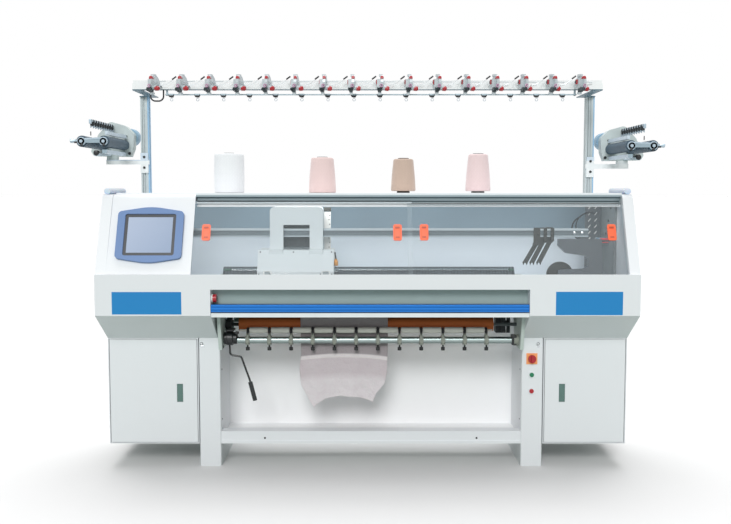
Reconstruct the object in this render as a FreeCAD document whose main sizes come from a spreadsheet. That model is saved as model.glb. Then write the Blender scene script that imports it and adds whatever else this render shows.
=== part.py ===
"""Flat knitting machine, 52 inch needle beds, on a cabinet stand, with its yarn stand.

Millimetres.  +X runs along the beds to the operator's right, +Y runs back from the operator and +Z up.
Lengths along Y are counted from the front plane of the two front boxes, and every sub-part is then
seated half the machine's depth forward, so the origin is on the floor under the middle of the machine.
"""
import FreeCAD, Part
import math
import os
import re
import Sketcher
from FreeCAD import Placement, Rotation, Vector

SIZES = [
    # frame
    ("depth", 650, "front plane of the boxes to the face of the rear cover"),
    ("half_wide", 1180, "middle of the machine to the outer face of a box or cabinet"),
    ("leg_front", 191, "front plane to the face of the legs and cabinets"),
    ("leg_wide", 97, "width of a leg"),
    ("leg_high", 593, "floor to the underside of the boxes"),
    ("leg_round", 6, "rounding of a leg's front edges"),
    ("bay_room", 25.5, "half the clear width between the legs, less half the needle beds"),
    ("bay_shift", 16, "middle of the leg bay, right of the middle of the machine"),
    ("sheet_thick", 3, "folded sheet"),
    ("beam_low", 105, "floor to the base beam and the cabinets"),
    ("beam_high", 56, "height of the base beam"),
    ("beam_deep", 68, "depth of the base beam"),
    ("beam_lip", 13, "height of the base beam's lower lip"),
    ("tray_back", 286, "leg face to the wall behind the tray"),
    ("tray_low", 17, "top of the base beam's lower flange to the tray"),
    ("tray_wall", 697, "tray's underside to the top of the wall behind it"),
    # cabinets
    ("wall", 4, "cabinet wall"),
    ("door_thick", 18, "cabinet door"),
    ("door_gap", 2.5, "clearance round a cabinet door"),
    ("pin_inset", 4, "door's hinge pin from the door's front and outer faces"),
    ("pin_radius", 2.5, "door's hinge pin"),
    ("running", 0.08, "radial clearance of shafts and pins"),
    ("latch_wide", 26, "flush latch"),
    ("latch_high", 82, "flush latch"),
    ("latch_thick", 4, "flush latch"),
    ("latch_gap", 1, "clearance round a flush latch"),
    ("latch_pin", 1.5, "radius of a latch's pin"),
    ("latch_axis", 4, "latch's top to its pin"),
    ("latch_ear", 3, "latch's pin reaches this far into the door"),
    ("latch_inset", 66, "door's free edge to the latch"),
    ("latch_low", 194, "cabinet underside to the latch"),
    ("lock_radius", 9, "key lock on a leg"),
    # front boxes and hood
    ("box_step", 10, "left leg's inner face to the left box's inner face"),
    ("box_low", 720, "floor to the lower edge of the boxes' front face"),
    ("box_top", 834, "floor to the top of the boxes"),
    ("cap_thick", 46, "hood end cap"),
    ("cap_top", 1244, "floor to the top of the end caps"),
    ("cap_round", 35, "rounding of an end cap's front shoulder"),
    ("hood_slope", 23.4, "the hood leans this many degrees back from upright"),
    ("hood_set", 17, "front plane to the foot of the outer window"),
    ("hood_top", 1214, "floor to the flat top of the outer window"),
    ("hood_round", 20, "bend of the outer window"),
    ("hood_back", 200, "front plane to the rear edge of the windows"),
    ("seat_high", 889, "floor to the foot of the windows"),
    ("window_thick", 4, "clear window"),
    ("track_step", 11, "outer face of the outer window to outer face of the inner window"),
    ("rail_deep", 50, "depth of the front rail"),
    ("rail_lip", 10, "seat of the windows to the top of the front rail's lip"),
    ("panel_out", 8, "screen panel's outer face, outside the outer window"),
    ("panel_thick", 3, "screen panel"),
    ("panel_wide", 368, "screen panel"),
    ("screen_in", 187.5, "screen panel's inner edge to the middle of the screen"),
    ("screen_z", 1064, "floor to the middle of the screen"),
    ("bezel_wide", 289, "screen bezel"),
    ("bezel_high", 265, "screen bezel, over its arched top and bottom"),
    ("bezel_arch", 24, "rise of the bezel's arched top and bottom"),
    ("bezel_thick", 14, "screen bezel"),
    ("bezel_corner", 18, "rounding of the bezel's corners"),
    ("inner_wide", 225, "sunk frame inside the bezel"),
    ("inner_high", 195, "sunk frame inside the bezel"),
    ("inner_deep", 5, "depth of the sunk frame"),
    ("glass_wide", 210, "screen glass"),
    ("glass_high", 168, "screen glass"),
    ("glass_thick", 3, "screen glass"),
    ("window_tuck", 24, "the left window reaches this far behind the screen panel"),
    ("window_meet", 197, "middle of the machine to the left window's inner edge"),
    ("window_overlap", 20, "overlap of the two windows"),
    ("window_side", 4, "right window's outer edge to the end cap"),
    ("grip_wide", 38, "window handle"),
    ("grip_high", 76, "window handle"),
    ("grip_thick", 4, "window handle"),
    ("grip_inset", 65, "window's inner edge to the middle of its handle"),
    ("grip_outer", 80, "left window's outer edge to the middle of its handle"),
    ("grip_far", 52, "right window's outer edge to the middle of its handle"),
    ("grip_z", 1076, "floor to the middle of the window handles"),
    ("table_front", 215, "front plane to the table's edge"),
    ("table_high", 1250, "floor to the table"),
    ("table_thick", 4, "table sheet"),
    ("track_front", 165, "front plane to the upper window track"),
    ("track_deep", 50, "upper window track"),
    ("track_high", 62, "upper window track"),
    ("track_slot", 9, "slot that a window slides in"),
    ("lamp_radius", 14, "signal lamp tube"),
    ("lamp_long", 250, "signal lamp tube"),
    ("lamp_front", 200, "front plane to the near end of a lamp"),
    # operator's controls
    ("apron_back", 60, "front plane to the apron"),
    ("sill_front", 12, "front plane to the sill"),
    ("sill_low", 712, "floor to the sill"),
    ("sill_high", 19, "height of the sill"),
    ("bar_deep", 32, "operating bar"),
    ("bar_high", 35, "operating bar"),
    ("bar_y", 18, "front plane to the operating bar's axis"),
    ("bar_z", 751.5, "floor to the operating bar's axis"),
    ("bar_gap", 1.5, "operating bar's end to the box beside it"),
    ("bar_pin", 4, "radius of the operating bar's end pins"),
    ("pin_long", 11, "length of the operating bar's end pins"),
    ("rib_deep", 3, "ribs of the operating bar"),
    ("stop_y", 32, "front plane to the emergency stop's axis"),
    ("stop_z", 793, "floor to the emergency stop's axis"),
    ("stop_radius", 18, "emergency stop's head"),
    ("stem_radius", 9, "emergency stop's stem"),
    ("control_inset", 46, "right leg's inner face to the controls on it"),
    ("switch_z", 498, "floor to the main switch"),
    ("plate_size", 50, "square plate of the main switch"),
    ("knob_radius", 18, "main switch knob"),
    ("shaft_radius", 6, "main switch shaft"),
    ("green_z", 424, "floor to the green button"),
    ("red_z", 349, "floor to the red button"),
    ("button_radius", 10, "push buttons"),
    ("ring_radius", 15, "ring round a push button"),
    # needle beds and carriage
    ("bed_long", 1321, "needle beds, 52 inch"),
    ("bed_shift", 5.5, "middle of the beds, right of the middle of the machine"),
    ("bed_wide", 190, "needle bed, down its slope"),
    ("bed_thick", 20, "needle bed"),
    ("bed_slope", 45, "slope of the beds in degrees"),
    ("bed_top", 914, "floor to the beds' upper edges"),
    ("gap_y", 227, "front plane to the middle of the gap between the beds"),
    ("gap_half", 3.5, "half the gap between the beds"),
    ("slot_pitch", 13.2, "spacing of the cam slots drawn in the beds"),
    ("slot_wide", 5, "width of a slot"),
    ("slot_deep", 5, "depth of a slot"),
    ("slot_run", 62, "length of a slot"),
    ("cheek_thick", 15, "end plates of the bed beam"),
    ("carriage_x", 319, "middle of the machine to the middle of the parked carriage"),
    ("saddle_wide", 338, "carriage saddle"),
    ("saddle_gap", 11, "carriage saddle to the middle of the gap"),
    ("saddle_top", 997, "floor to the top of a saddle"),
    ("saddle_low", 884, "floor to the underside of a saddle"),
    ("saddle_front", 95, "front plane to the front saddle"),
    ("bed_clear", 3, "carriage saddle to the bed"),
    ("bridge_wide", 238, "carriage bridge"),
    ("bridge_half", 50, "half the depth of the bridge"),
    ("bridge_wall", 12, "bridge front and back"),
    ("bridge_top", 1187, "floor to the top of the bridge"),
    ("bridge_low", 942, "floor to the feet of the bridge"),
    ("bridge_round", 20, "rounding of the bridge's shoulders"),
    ("pillar_wide", 60, "bridge pillars"),
    ("foot_deep", 36, "feet in front of and behind the bridge's pillars"),
    ("foot_high", 57, "feet of the bridge"),
    ("foot_gap", 1, "clearance round a foot in its notch"),
    ("bridge_sill", 80, "bridge top to its window"),
    # yarn feeder rails and carriers
    ("feed_end_left", 134, "left end cap to the left end of the feeder rails"),
    ("feed_end_right", 136, "right end cap to the right end of the feeder rails"),
    ("feed_half", 15, "middle of the gap to the inner face of a feeder rail"),
    ("feed_thick", 8, "feeder rail"),
    ("feed_low", 1052, "floor to the feeder rails"),
    ("feed_high", 37, "height of a feeder rail"),
    ("feed_groove", 2, "groove along a feeder rail"),
    ("carrier_wide", 29, "yarn carrier block"),
    ("carrier_pitch", 32, "spacing of the parked carriers"),
    ("carrier_park", 248, "right end of the feeder rails to the first parked carrier"),
    ("carrier_thick", 8, "yarn carrier block"),
    ("carrier_high", 61, "yarn carrier block"),
    ("lane_drop", 10, "the outer lane's block reaches this much lower"),
    ("carrier_lift", 5, "feeder rail's top to the top of a carrier block"),
    ("carrier_clear", 0.4, "carrier block to its rail"),
    ("finger_thick", 2.5, "yarn carrier finger"),
    ("finger_lean", 45, "the fingers reach this far to the left"),
    ("finger_tip", 921, "floor to the fingers' tips"),
    # take-down
    ("roller_radius", 32, "take-down roller"),
    ("roller_z", 646, "floor to the take-down roller's axis"),
    ("roller_in_left", 80, "left leg's inner face to the roller"),
    ("roller_in_right", 124, "right leg's inner face to the roller"),
    ("axle_radius", 8, "take-down roller's axle"),
    ("nip_half", 1.5, "half the gap between the rollers"),
    ("gear_radius", 35, "take-down gear, over its teeth"),
    ("gear_teeth", 24, "teeth of the take-down gear"),
    ("gear_wide", 24, "take-down gear"),
    ("tooth_high", 4, "teeth of the take-down gear"),
    ("press_radius", 14, "press rollers"),
    ("press_z", 626, "floor to the press rollers' axis"),
    ("press_rod", 4, "radius of the press rollers' rod"),
    ("tube_radius", 15.5, "press tube"),
    ("tube_y", 200, "front plane to the press tube's axis"),
    ("tube_z", 582, "floor to the press tube's axis"),
    ("arm_in_left", 125, "left leg's inner face to the first press arm"),
    ("arm_in_right", 161.3, "right leg's inner face to the last press arm"),
    ("arm_thick", 10, "press arm"),
    ("thumb_radius", 9, "thumb screw"),
    ("thumb_long", 14, "thumb screw's knob"),
    ("hub_inset", 42, "left leg's inner face to the middle of the crank's hub"),
    ("hub_wide", 28, "crank's hub"),
    ("hub_radius", 22, "crank's hub"),
    ("crank_radius", 4.5, "crank's rod"),
    ("crank_root", 18, "press tube's axis to the top of the crank's rod"),
    ("crank_knee", 68, "press tube's axis to the crank's first bend"),
    ("crank_elbow", 76, "press tube's axis to the crank's second bend"),
    ("crank_side", 52, "crank's hub to its second bend, sideways"),
    ("crank_wrist", 180, "press tube's axis to the crank's third bend"),
    ("crank_reach", 89, "crank's hub to its third bend, sideways"),
    ("crank_tip", 21, "crank's third bend to the end of its rod"),
    ("grip_radius", 10, "crank's grip"),
    ("grip_long", 88, "crank's grip"),
    ("cloth_thick", 1.2, "knitted fabric"),
    ("fold_deep", 11, "depth of the fabric's folds at its hem"),
    ("fold_top", 545, "floor to the height where the folds begin"),
    # yarn stand
    ("mast_inset", 119, "cabinet's outer face to the middle of a mast"),
    ("mast_side", 40, "mast, a square slotted profile"),
    ("mast_front", 470, "front plane to the masts"),
    ("mast_slot", 8, "slot of the masts"),
    ("mast_groove", 6, "depth of the masts' slots"),
    ("stand_high", 1704, "floor to the top of the masts"),
    ("bracket_thick", 4, "rail bracket"),
    ("rail_y", 180, "front plane to the yarn rail"),
    ("rail_thick", 40, "yarn rail"),
    ("rail_inset", 21, "middle of a mast to the yarn rail's end"),
    ("rail_high", 40, "height of the yarn rail"),
    ("unit_inset", 101, "yarn rail's end to the first yarn tensioner"),
    ("unit_y", 146, "front plane to the yarn tensioners"),
    ("unit_z", 1734, "floor to the middle of a tensioner"),
    ("disc_radius", 32, "tension disc"),
    ("disc_thick", 12, "tension disc"),
    ("unit_turn", 24, "the first tensioner is turned this many degrees to the middle"),
    ("unit_step", 3.2, "each tensioner is turned this many degrees less"),
    ("guide_z", 1687, "floor to the yarn guide rod"),
    ("guide_radius", 3, "yarn guide rod"),
    ("guide_in_left", 138, "yarn rail's left end to the guide rod"),
    ("guide_in_right", 108, "yarn rail's right end to the guide rod"),
    ("guide_inset", 26, "guide rod's left end to the first yarn guide"),
    ("guide_tail", 63.5, "last yarn guide to the guide rod's right end"),
    ("cable_radius", 3.5, "short cable under the yarn rail"),
    ("cable_left", 72, "yarn rail's left end to the cable"),
    ("cable_span", 58, "spacing of the cable's two ends"),
    ("cable_drop", 49, "drop of the cable's loop"),
    # side feeders
    ("feeder_front", 468, "front plane to the side feeders' housings"),
    ("feeder_deep", 52, "depth of a side feeder's housing"),
    ("feeder_z", 1477, "floor to the left side feeder's rollers"),
    ("feeder_drop", 20, "the right side feeder sits this much lower"),
    ("feeder_out", 99, "middle of a mast to the inner feed roller"),
    ("feed_space", 97, "spacing of the two feed rollers"),
    ("feed_radius", 25, "feed roller"),
    ("feed_long", 340, "feed roller"),
    ("dead_radius", 8, "feed rollers' fixed shafts"),
    ("feed_side", 1, "feed roller's end to the housing and to the front link"),
    ("link_thick", 12, "link in front of the feed rollers"),
    ("link_radius", 15, "ends of the link"),
    # yarn
    ("cone_y", 380, "front plane to the middle of the yarn packages"),
]

UNITS = 16
ARMS = 12

WORKED_OUT = [
    ("leg_deep", "depth - leg_front - wall", "depth of the legs and cabinets"),
    ("bay_half", "bed_long / 2 + bay_room", "half the clear width between the legs"),
    ("box_left", "bay_half - bay_shift + box_step", "middle of the machine to the left box's inner face"),
    ("box_right", "bay_half + bay_shift", "middle of the machine to the right box's inner face"),
    ("panel_edge", "half_wide - cap_thick - panel_wide", "middle of the machine to the screen panel's inner edge"),
    ("screen_x", "panel_edge + screen_in", "middle of the machine to the middle of the screen"),
    ("window_left", "panel_edge + window_tuck", "middle of the machine to the left window's outer edge"),
    ("window_right", "half_wide - cap_thick - window_side", "middle of the machine to the right window's outer edge"),
    ("control_x", "box_right + control_inset", "middle of the machine to the controls on the right leg"),
    ("feed_left", "half_wide - cap_thick - feed_end_left", "middle of the machine to the feeder rails' left end"),
    ("feed_right", "half_wide - cap_thick - feed_end_right", "middle of the machine to the feeder rails' right end"),
    ("carrier_x", "feed_right - carrier_park", "middle of the machine to the first carrier"),
    ("roller_left", "bay_half - bay_shift - roller_in_left", "middle of the machine to the roller's left end"),
    ("roller_right", "bay_half + bay_shift - roller_in_right", "middle of the machine to the roller's right end"),
    ("arm_first", "bay_half - bay_shift - arm_in_left", "middle of the machine to the first press arm"),
    ("arm_pitch", "(2 * bay_half - arm_in_left - arm_in_right) / %d" % (ARMS - 1), "spacing of the press arms"),
    ("hub_x", "bay_half - bay_shift - hub_inset", "middle of the machine to the crank's hub"),
    ("mast_x", "half_wide - mast_inset", "middle of the machine to the middle of a mast"),
    ("rail_half", "mast_x - rail_inset", "half the length of the yarn rail"),
    ("unit_first", "rail_half - unit_inset", "middle of the machine to the first yarn tensioner"),
    ("unit_pitch", "2 * unit_first / %d" % (UNITS - 1), "spacing of the yarn tensioners"),
    ("guide_left", "rail_half - guide_in_left", "middle of the machine to the guide rod's left end"),
    ("guide_right", "rail_half - guide_in_right", "middle of the machine to the guide rod's right end"),
    ("guide_first", "guide_left - guide_inset", "middle of the machine to the first yarn guide"),
    ("guide_pitch", "(guide_first + guide_right - guide_tail) / %d" % (UNITS - 1), "spacing of the yarn guides"),
    ("inner_x", "mast_x + feeder_out", "middle of the machine to an inner feed roller"),
]

NAMES = {name for name, value, meaning in SIZES + WORKED_OUT}
PLANES = {"XY_Plane": False, "XZ_Plane": True, "YZ_Plane": False}

doc = FreeCAD.newDocument("flat_knitting_machine")
sheet = doc.addObject("Spreadsheet::Sheet", "Sizes")
for row, (name, value, meaning) in enumerate(SIZES + WORKED_OUT, 1):
    sheet.set("A%d" % row, meaning)
    sheet.set("B%d" % row, "=" + value if isinstance(value, str) else str(value))
    sheet.setAlias("B%d" % row, name)
doc.recompute()
parts = []


def from_sheet(text):
    """Writes a size expression with its names looked up in the sheet."""
    return re.sub(r"[a-z][a-z_0-9]*", lambda m: "Sizes." + m.group() if m.group() in NAMES else m.group(), text)


def bind(thing, prop, text):
    thing.setExpression(prop, from_sheet(text))


def seat(thing, label, x="0", y="0", z="0", lean=None):
    """Makes a thing a sub-part: its label, and its place with y counted from the front plane."""
    thing.Label = label
    if lean:
        thing.Placement = Placement(Vector(), Rotation(Vector(1, 0, 0), 1))
        bind(thing, "Placement.Rotation.Angle", lean)
    bind(thing, "Placement.Base.x", x)
    bind(thing, "Placement.Base.y", "%s - depth / 2" % y)
    bind(thing, "Placement.Base.z", z)
    parts.append(thing)
    return thing


def plane_of(body, role):
    return next(item for item in body.Origin.OriginFeatures if item.Role == role)


def outline(body, name, role, corners, start):
    """A closed sketch on one of the body's own planes, each corner bound to the sheet."""
    sketch = body.newObject("Sketcher::SketchObject", name)
    sketch.AttachmentSupport = [(plane_of(body, role), "")]
    sketch.MapMode = "FlatFace"
    count = len(corners)
    ring = [Vector(100 * math.cos(2 * math.pi * i / count), 100 * math.sin(2 * math.pi * i / count), 0)
            for i in range(count)]
    sketch.addGeometry([Part.LineSegment(ring[i], ring[(i + 1) % count]) for i in range(count)], False)
    rules = [Sketcher.Constraint("Coincident", i, 2, (i + 1) % count, 1) for i in range(count)]
    for i, point in enumerate(ring):
        rules.append(Sketcher.Constraint("DistanceX", -1, 1, i, 1, point.x))
        rules.append(Sketcher.Constraint("DistanceY", -1, 1, i, 1, point.y))
    sketch.addConstraint(rules)
    for i, (across, up) in enumerate(corners):
        bind(sketch, "Constraints[%d]" % (count + 2 * i), across)
        bind(sketch, "Constraints[%d]" % (count + 2 * i + 1), up)
    bind(sketch, "AttachmentOffset.Base.z", "-(%s)" % start if PLANES[role] else start)
    return sketch


def prism(name, role, corners, start, length, rounds=()):
    """A padded outline.  XY outlines grow up, XZ outlines grow back and YZ outlines grow to the right.

    rounds lists (radius, corner numbers) for the edges that the padding leaves at those corners.
    """
    body = doc.addObject("PartDesign::Body", name)
    sketch = outline(body, name + "_outline", role, corners, start)
    pad = body.newObject("PartDesign::Pad", name + "_pad")
    pad.Profile = sketch
    pad.Reversed = PLANES[role]
    bind(pad, "Length", length)
    for radius, picks in rounds:
        doc.recompute()
        base = body.Tip
        wanted = [sketch.Placement.multVec(sketch.Geometry[i].StartPoint) for i in picks]
        normal = sketch.Placement.Rotation.multVec(Vector(0, 0, 1))
        names = []
        for number, edge in enumerate(base.Shape.Edges, 1):
            ends = [vertex.Point for vertex in edge.Vertexes]
            if len(ends) == 2 and any((ends[0] - at).cross(normal).Length < 1e-4
                                      and (ends[1] - at).cross(normal).Length < 1e-4 for at in wanted):
                names.append("Edge%d" % number)
        fillet = body.newObject("PartDesign::Fillet", name + "_round")
        fillet.Base = (base, names)
        bind(fillet, "Radius", radius)
        body.Tip = fillet
    return body


def box(name, x, y, z, wide, deep, high):
    solid = doc.addObject("Part::Box", name)
    for prop, text in (("Length", wide), ("Width", deep), ("Height", high)):
        bind(solid, prop, text)
    for prop, text in (("x", x), ("y", y), ("z", z)):
        bind(solid, "Placement.Base." + prop, text)
    return solid


TURNS = {"X": Rotation(Vector(0, 1, 0), 90), "Y": Rotation(Vector(1, 0, 0), -90), "Z": Rotation()}


def rod(name, axis, x, y, z, radius, length, top=None):
    """A cylinder along +X, +Y or +Z from the point given, or a cone where top gives its other radius."""
    solid = doc.addObject("Part::Cone" if top else "Part::Cylinder", name)
    solid.Placement = Placement(Vector(), TURNS[axis])
    bind(solid, "Height", length)
    bind(solid, "Radius1" if top else "Radius", radius)
    if top:
        bind(solid, "Radius2", top)
    for prop, text in (("x", x), ("y", y), ("z", z)):
        bind(solid, "Placement.Base." + prop, text)
    return solid


def bar(name, sides, axis, x, y, z, radius, length):
    """A many-sided bar along +X, +Y or +Z from the point given, radius being that of its corners."""
    solid = doc.addObject("Part::Prism", name)
    solid.Polygon = sides
    solid.Placement = Placement(Vector(), TURNS[axis])
    bind(solid, "Height", length)
    bind(solid, "Circumradius", radius)
    for prop, text in (("x", x), ("y", y), ("z", z)):
        bind(solid, "Placement.Base." + prop, text)
    return solid


def join(name, pieces):
    whole = doc.addObject("Part::MultiFuse", name)
    whole.Shapes = pieces
    return whole


def group(name, pieces):
    whole = doc.addObject("Part::Compound", name)
    whole.Links = pieces
    return whole


def cut(name, base, tools):
    whole = doc.addObject("Part::Cut", name)
    whole.Base = base
    whole.Tool = tools[0] if len(tools) == 1 else group(name + "_tools", tools)
    return whole


def mirrored(name, source, normal, x="0", y="0"):
    """The source mirrored in an upright plane through (x, y)."""
    twin = doc.addObject("Part::Mirroring", name)
    twin.Source = source
    twin.Normal = normal
    bind(twin, "Base.x", x)
    bind(twin, "Base.y", y)
    return twin


def size(name):
    return float(sheet.get(name))


def bent_rod(name, points, radius, most, sides):
    """A many-sided rod along straight runs joined by tangent arcs, for sizes read from the sheet.

    Each arc's radius is 0.45 of its shorter run over the tangent of half the turn, or most if less.
    """
    edges = []
    radii = []
    start = points[0]
    for before, corner, after in zip(points, points[1:], points[2:]):
        back = (before - corner).normalize()
        on = (after - corner).normalize()
        turn = math.pi - back.getAngle(on)
        shorter = min((before - corner).Length, (after - corner).Length)
        bend = min(0.45 * shorter / math.tan(turn / 2), most)
        reach = bend * math.tan(turn / 2)
        first = corner + back * reach
        last = corner + on * reach
        middle = (back + on).normalize() * (bend / math.cos(turn / 2))
        top = corner + middle - (back + on).normalize() * bend
        edges.append(Part.LineSegment(start, first).toShape())
        edges.append(Part.Arc(first, top, last).toShape())
        radii.append(round(bend, 1))
        start = last
    edges.append(Part.LineSegment(start, points[-1]).toShape())
    path = Part.Wire(edges)
    circle = Part.Circle(points[0], points[1] - points[0], radius)
    corners = [circle.value(2 * math.pi * i / sides) for i in range(sides)]
    ring = Part.makePolygon(corners + corners[:1])
    solid = path.makePipeShell([ring], True, False)
    section = Part.Face(ring).Area
    print(name, "bend radii", radii, "length", round(path.Length, 1),
          "volume over section times length", round(solid.Volume / (section * path.Length), 4))
    feature = doc.addObject("Part::Feature", name)
    feature.Shape = solid
    return feature


# ---- stand -------------------------------------------------------------------------------------

LEFT_IN = "bay_shift - bay_half"
RIGHT_IN = "bay_shift + bay_half"
LEG_BACK = "leg_front + leg_deep"


def leg(name, inner, outer):
    corners = [(inner, "leg_front"), (outer, "leg_front"), (outer, LEG_BACK), (inner, LEG_BACK)]
    return prism(name, "XY_Plane", corners, "0", "leg_high", [("leg_round", [0, 1])])


def key_lock(name, x):
    return bar(name, 16, "Y", x, "leg_front - 4", "leg_high - 26", "lock_radius", "6")


def left_leg():
    column = leg("left_column", "bay_shift - bay_half - leg_wide", LEFT_IN)
    seat(join("left_leg", [column, key_lock("left_lock", "bay_shift - bay_half - leg_wide + 13")]), "left_leg")


def right_leg():
    """The right leg carries the main switch and the two push buttons."""
    column = leg("right_column", RIGHT_IN, "bay_shift + bay_half + leg_wide")
    rings = [bar("ring_" + z, 24, "Y", "control_x", "leg_front - 3", z, "ring_radius", "4")
             for z in ("green_z", "red_z")]
    lock = key_lock("right_lock", "bay_shift + bay_half + leg_wide - 24")
    bores = [rod("bore_" + z, "Y", "control_x", "leg_front - 4", z, "button_radius + running", "18")
             for z in ("green_z", "red_z")]
    bores.append(rod("bore_switch", "Y", "control_x", "leg_front - 1", "switch_z", "shaft_radius + running", "17"))
    seat(cut("right_leg", join("right_leg_blank", [column, lock] + rings), bores), "right_leg")


def base_beam():
    """A folded channel between the legs, with a lip along its lower edge."""
    face = "leg_front + sheet_thick"
    back = "leg_front + beam_deep"
    top = "beam_low + beam_high"
    corners = [("leg_front", "beam_low"), (back, "beam_low"), (back, "beam_low + sheet_thick"),
               (face + " + sheet_thick", "beam_low + sheet_thick"), (face + " + sheet_thick", top + " - sheet_thick"),
               (back, top + " - sheet_thick"), (back, top), (face, top), (face, "beam_low + beam_lip"),
               ("leg_front", "beam_low + beam_lip")]
    seat(prism("base_beam", "YZ_Plane", corners, LEFT_IN, "2 * bay_half"), "base_beam")


def lower_back_panel():
    """Tray that hooks down behind the base beam's face and folds up into the wall behind the fabric."""
    front = "leg_front + 4 * sheet_thick"
    back = "leg_front + tray_back"
    low = "beam_low + sheet_thick"
    tray = low + " + tray_low"
    corners = [(front, low), (front + " + sheet_thick", low), (front + " + sheet_thick", tray), (back, tray),
               (back, tray + " + tray_wall"), (back + " - sheet_thick", tray + " + tray_wall"),
               (back + " - sheet_thick", tray + " + sheet_thick"), (front, tray + " + sheet_thick")]
    seat(prism("lower_back_panel", "YZ_Plane", corners, LEFT_IN, "2 * bay_half"), "lower_back_panel")


LEG_ROOM = "(bay_half + leg_wide + sheet_thick)"
CABINETS = {
    "left": ("-half_wide", "half_wide + bay_shift - " + LEG_ROOM, "-half_wide + wall + door_gap + pin_inset"),
    "right": ("bay_shift + bay_half + leg_wide + sheet_thick", "half_wide - bay_shift - " + LEG_ROOM,
              "half_wide - wall - door_gap - pin_inset"),
}
PIN_Y = "leg_front + pin_inset"
LATCH_Y = "leg_front + latch_thick / 2"
LATCH_Z = "beam_low + latch_low + latch_high - latch_axis"


def cabinet(side):
    """A steel cabinet, open in front, with holes for the door's hinge pins."""
    low_x, wide, pin_x = CABINETS[side]
    name = side + "_cabinet"
    shell = box(name + "_shell", low_x, "leg_front", "beam_low", wide, "leg_deep", "leg_high - beam_low")
    hollow = box(name + "_hollow", low_x + " + wall", "leg_front - wall", "beam_low + wall",
                 wide + " - 2 * wall", "leg_deep", "leg_high - beam_low - 2 * wall")
    holes = [rod("%s_hole_%d" % (name, i), "Z", pin_x, PIN_Y, z, "pin_radius + running", "wall + 2")
             for i, z in enumerate(("beam_low - 1", "leg_high - wall - 1"))]
    seat(cut(name, shell, [hollow] + holes), name)


def latch_place(side):
    low_x, wide, pin_x = CABINETS[side]
    if side == "left":
        return "%s + %s - wall - door_gap - latch_inset - latch_wide" % (low_x, wide)
    return low_x + " + wall + door_gap + latch_inset"


def door(side):
    """A flush door on two pins, with a recess for its latch."""
    low_x, wide, pin_x = CABINETS[side]
    name = side + "_cabinet_door"
    left = low_x + " + wall + door_gap"
    right = "%s + %s - wall - door_gap" % (low_x, wide)
    corners = [(left, "leg_front"), (right, "leg_front"), (right, "leg_front + door_thick"),
               (left, "leg_front + door_thick")]
    panel = prism(name + "_panel", "XY_Plane", corners, "beam_low + wall + door_gap",
                  "leg_high - beam_low - 2 * wall - 2 * door_gap", [("pin_inset / 3", [0, 1])])
    recess = box(name + "_recess", latch_place(side) + " - latch_gap", "leg_front - 1",
                 "beam_low + latch_low - latch_gap", "latch_wide + 2 * latch_gap", "2 * latch_thick",
                 "latch_high + 2 * latch_gap")
    pin_hole = rod(name + "_latch_hole", "X", latch_place(side) + " - latch_gap - latch_ear - 1", LATCH_Y, LATCH_Z,
                   "latch_pin + running", "latch_wide + 2 * latch_gap + 2 * latch_ear + 2")
    pins = [rod("%s_pin_%d" % (name, i), "Z", pin_x, PIN_Y, z, "pin_radius", "door_gap + wall")
            for i, z in enumerate(("beam_low + 1", "leg_high - wall - door_gap - 1"))]
    seat(join(name, [cut(name + "_blank", panel, [recess, pin_hole])] + pins), name)


def latch(side):
    """A flush paddle that swings out on a pin near its top, with its key barrel."""
    name = side + "_door_latch"
    x = latch_place(side)
    paddle = box(name + "_paddle", x, "leg_front", "beam_low + latch_low", "latch_wide", "latch_thick", "latch_high")
    barrel = bar(name + "_barrel", 12, "Y", x + " + latch_wide / 2", "leg_front - 1", "beam_low + latch_low + 28",
                 "5", "3")
    pin = rod(name + "_pin", "X", x + " - latch_gap - latch_ear", LATCH_Y, LATCH_Z, "latch_pin",
              "latch_wide + 2 * latch_gap + 2 * latch_ear")
    seat(join(name, [paddle, barrel, pin]), name)


# ---- boxes and hood ----------------------------------------------------------------------------

REAR = "depth - wall"
TAN = "tan(hood_slope * 1deg)"
COS = "cos(hood_slope * 1deg)"


def upper_box(side):
    """A box beside the bay: upright face, underside sloping back to the leg."""
    name = side + "_upper_box"
    start, length = {"left": ("-half_wide", "half_wide - box_left"),
                     "right": ("box_right", "half_wide - box_right")}[side]
    corners = [("0", "box_low"), ("leg_front", "leg_high"), (REAR, "leg_high"), (REAR, "box_top"), ("0", "box_top")]
    blank = prism(name + "_blank", "YZ_Plane", corners, start, length)
    inner = "-box_left - pin_long - 1" if side == "left" else "box_right - 1"
    bores = [rod(name + "_pin_bore", "X", inner, "bar_y", "bar_z", "bar_pin + running", "pin_long + 2")]
    if side == "left":
        collar = rod("stop_collar", "X", "-box_left - 1", "stop_y", "stop_z", "stop_radius + 1", "4")
        blank = join("left_box_with_collar", [blank, collar])
        bores.append(rod("stop_bore", "X", "-box_left - 15", "stop_y", "stop_z", "stem_radius + running", "25"))
    seat(cut(name, blank, bores), name)


def end_cap(side):
    """The hood's end: upright foot, sloping front and a rounded shoulder."""
    name = side + "_end_cap"
    foot = "hood_set - panel_out"
    lip = "seat_high + rail_lip"
    shoulder = "%s + (cap_top - seat_high - rail_lip) * %s" % (foot, TAN)
    corners = [("0", "box_top"), ("0", lip), (foot, lip), (shoulder, "cap_top"), (REAR, "cap_top"), (REAR, "box_top")]
    start = "-half_wide" if side == "left" else "half_wide - cap_thick"
    seat(prism(name, "YZ_Plane", corners, start, "cap_thick", [("cap_round", [3])]), name)


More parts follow.
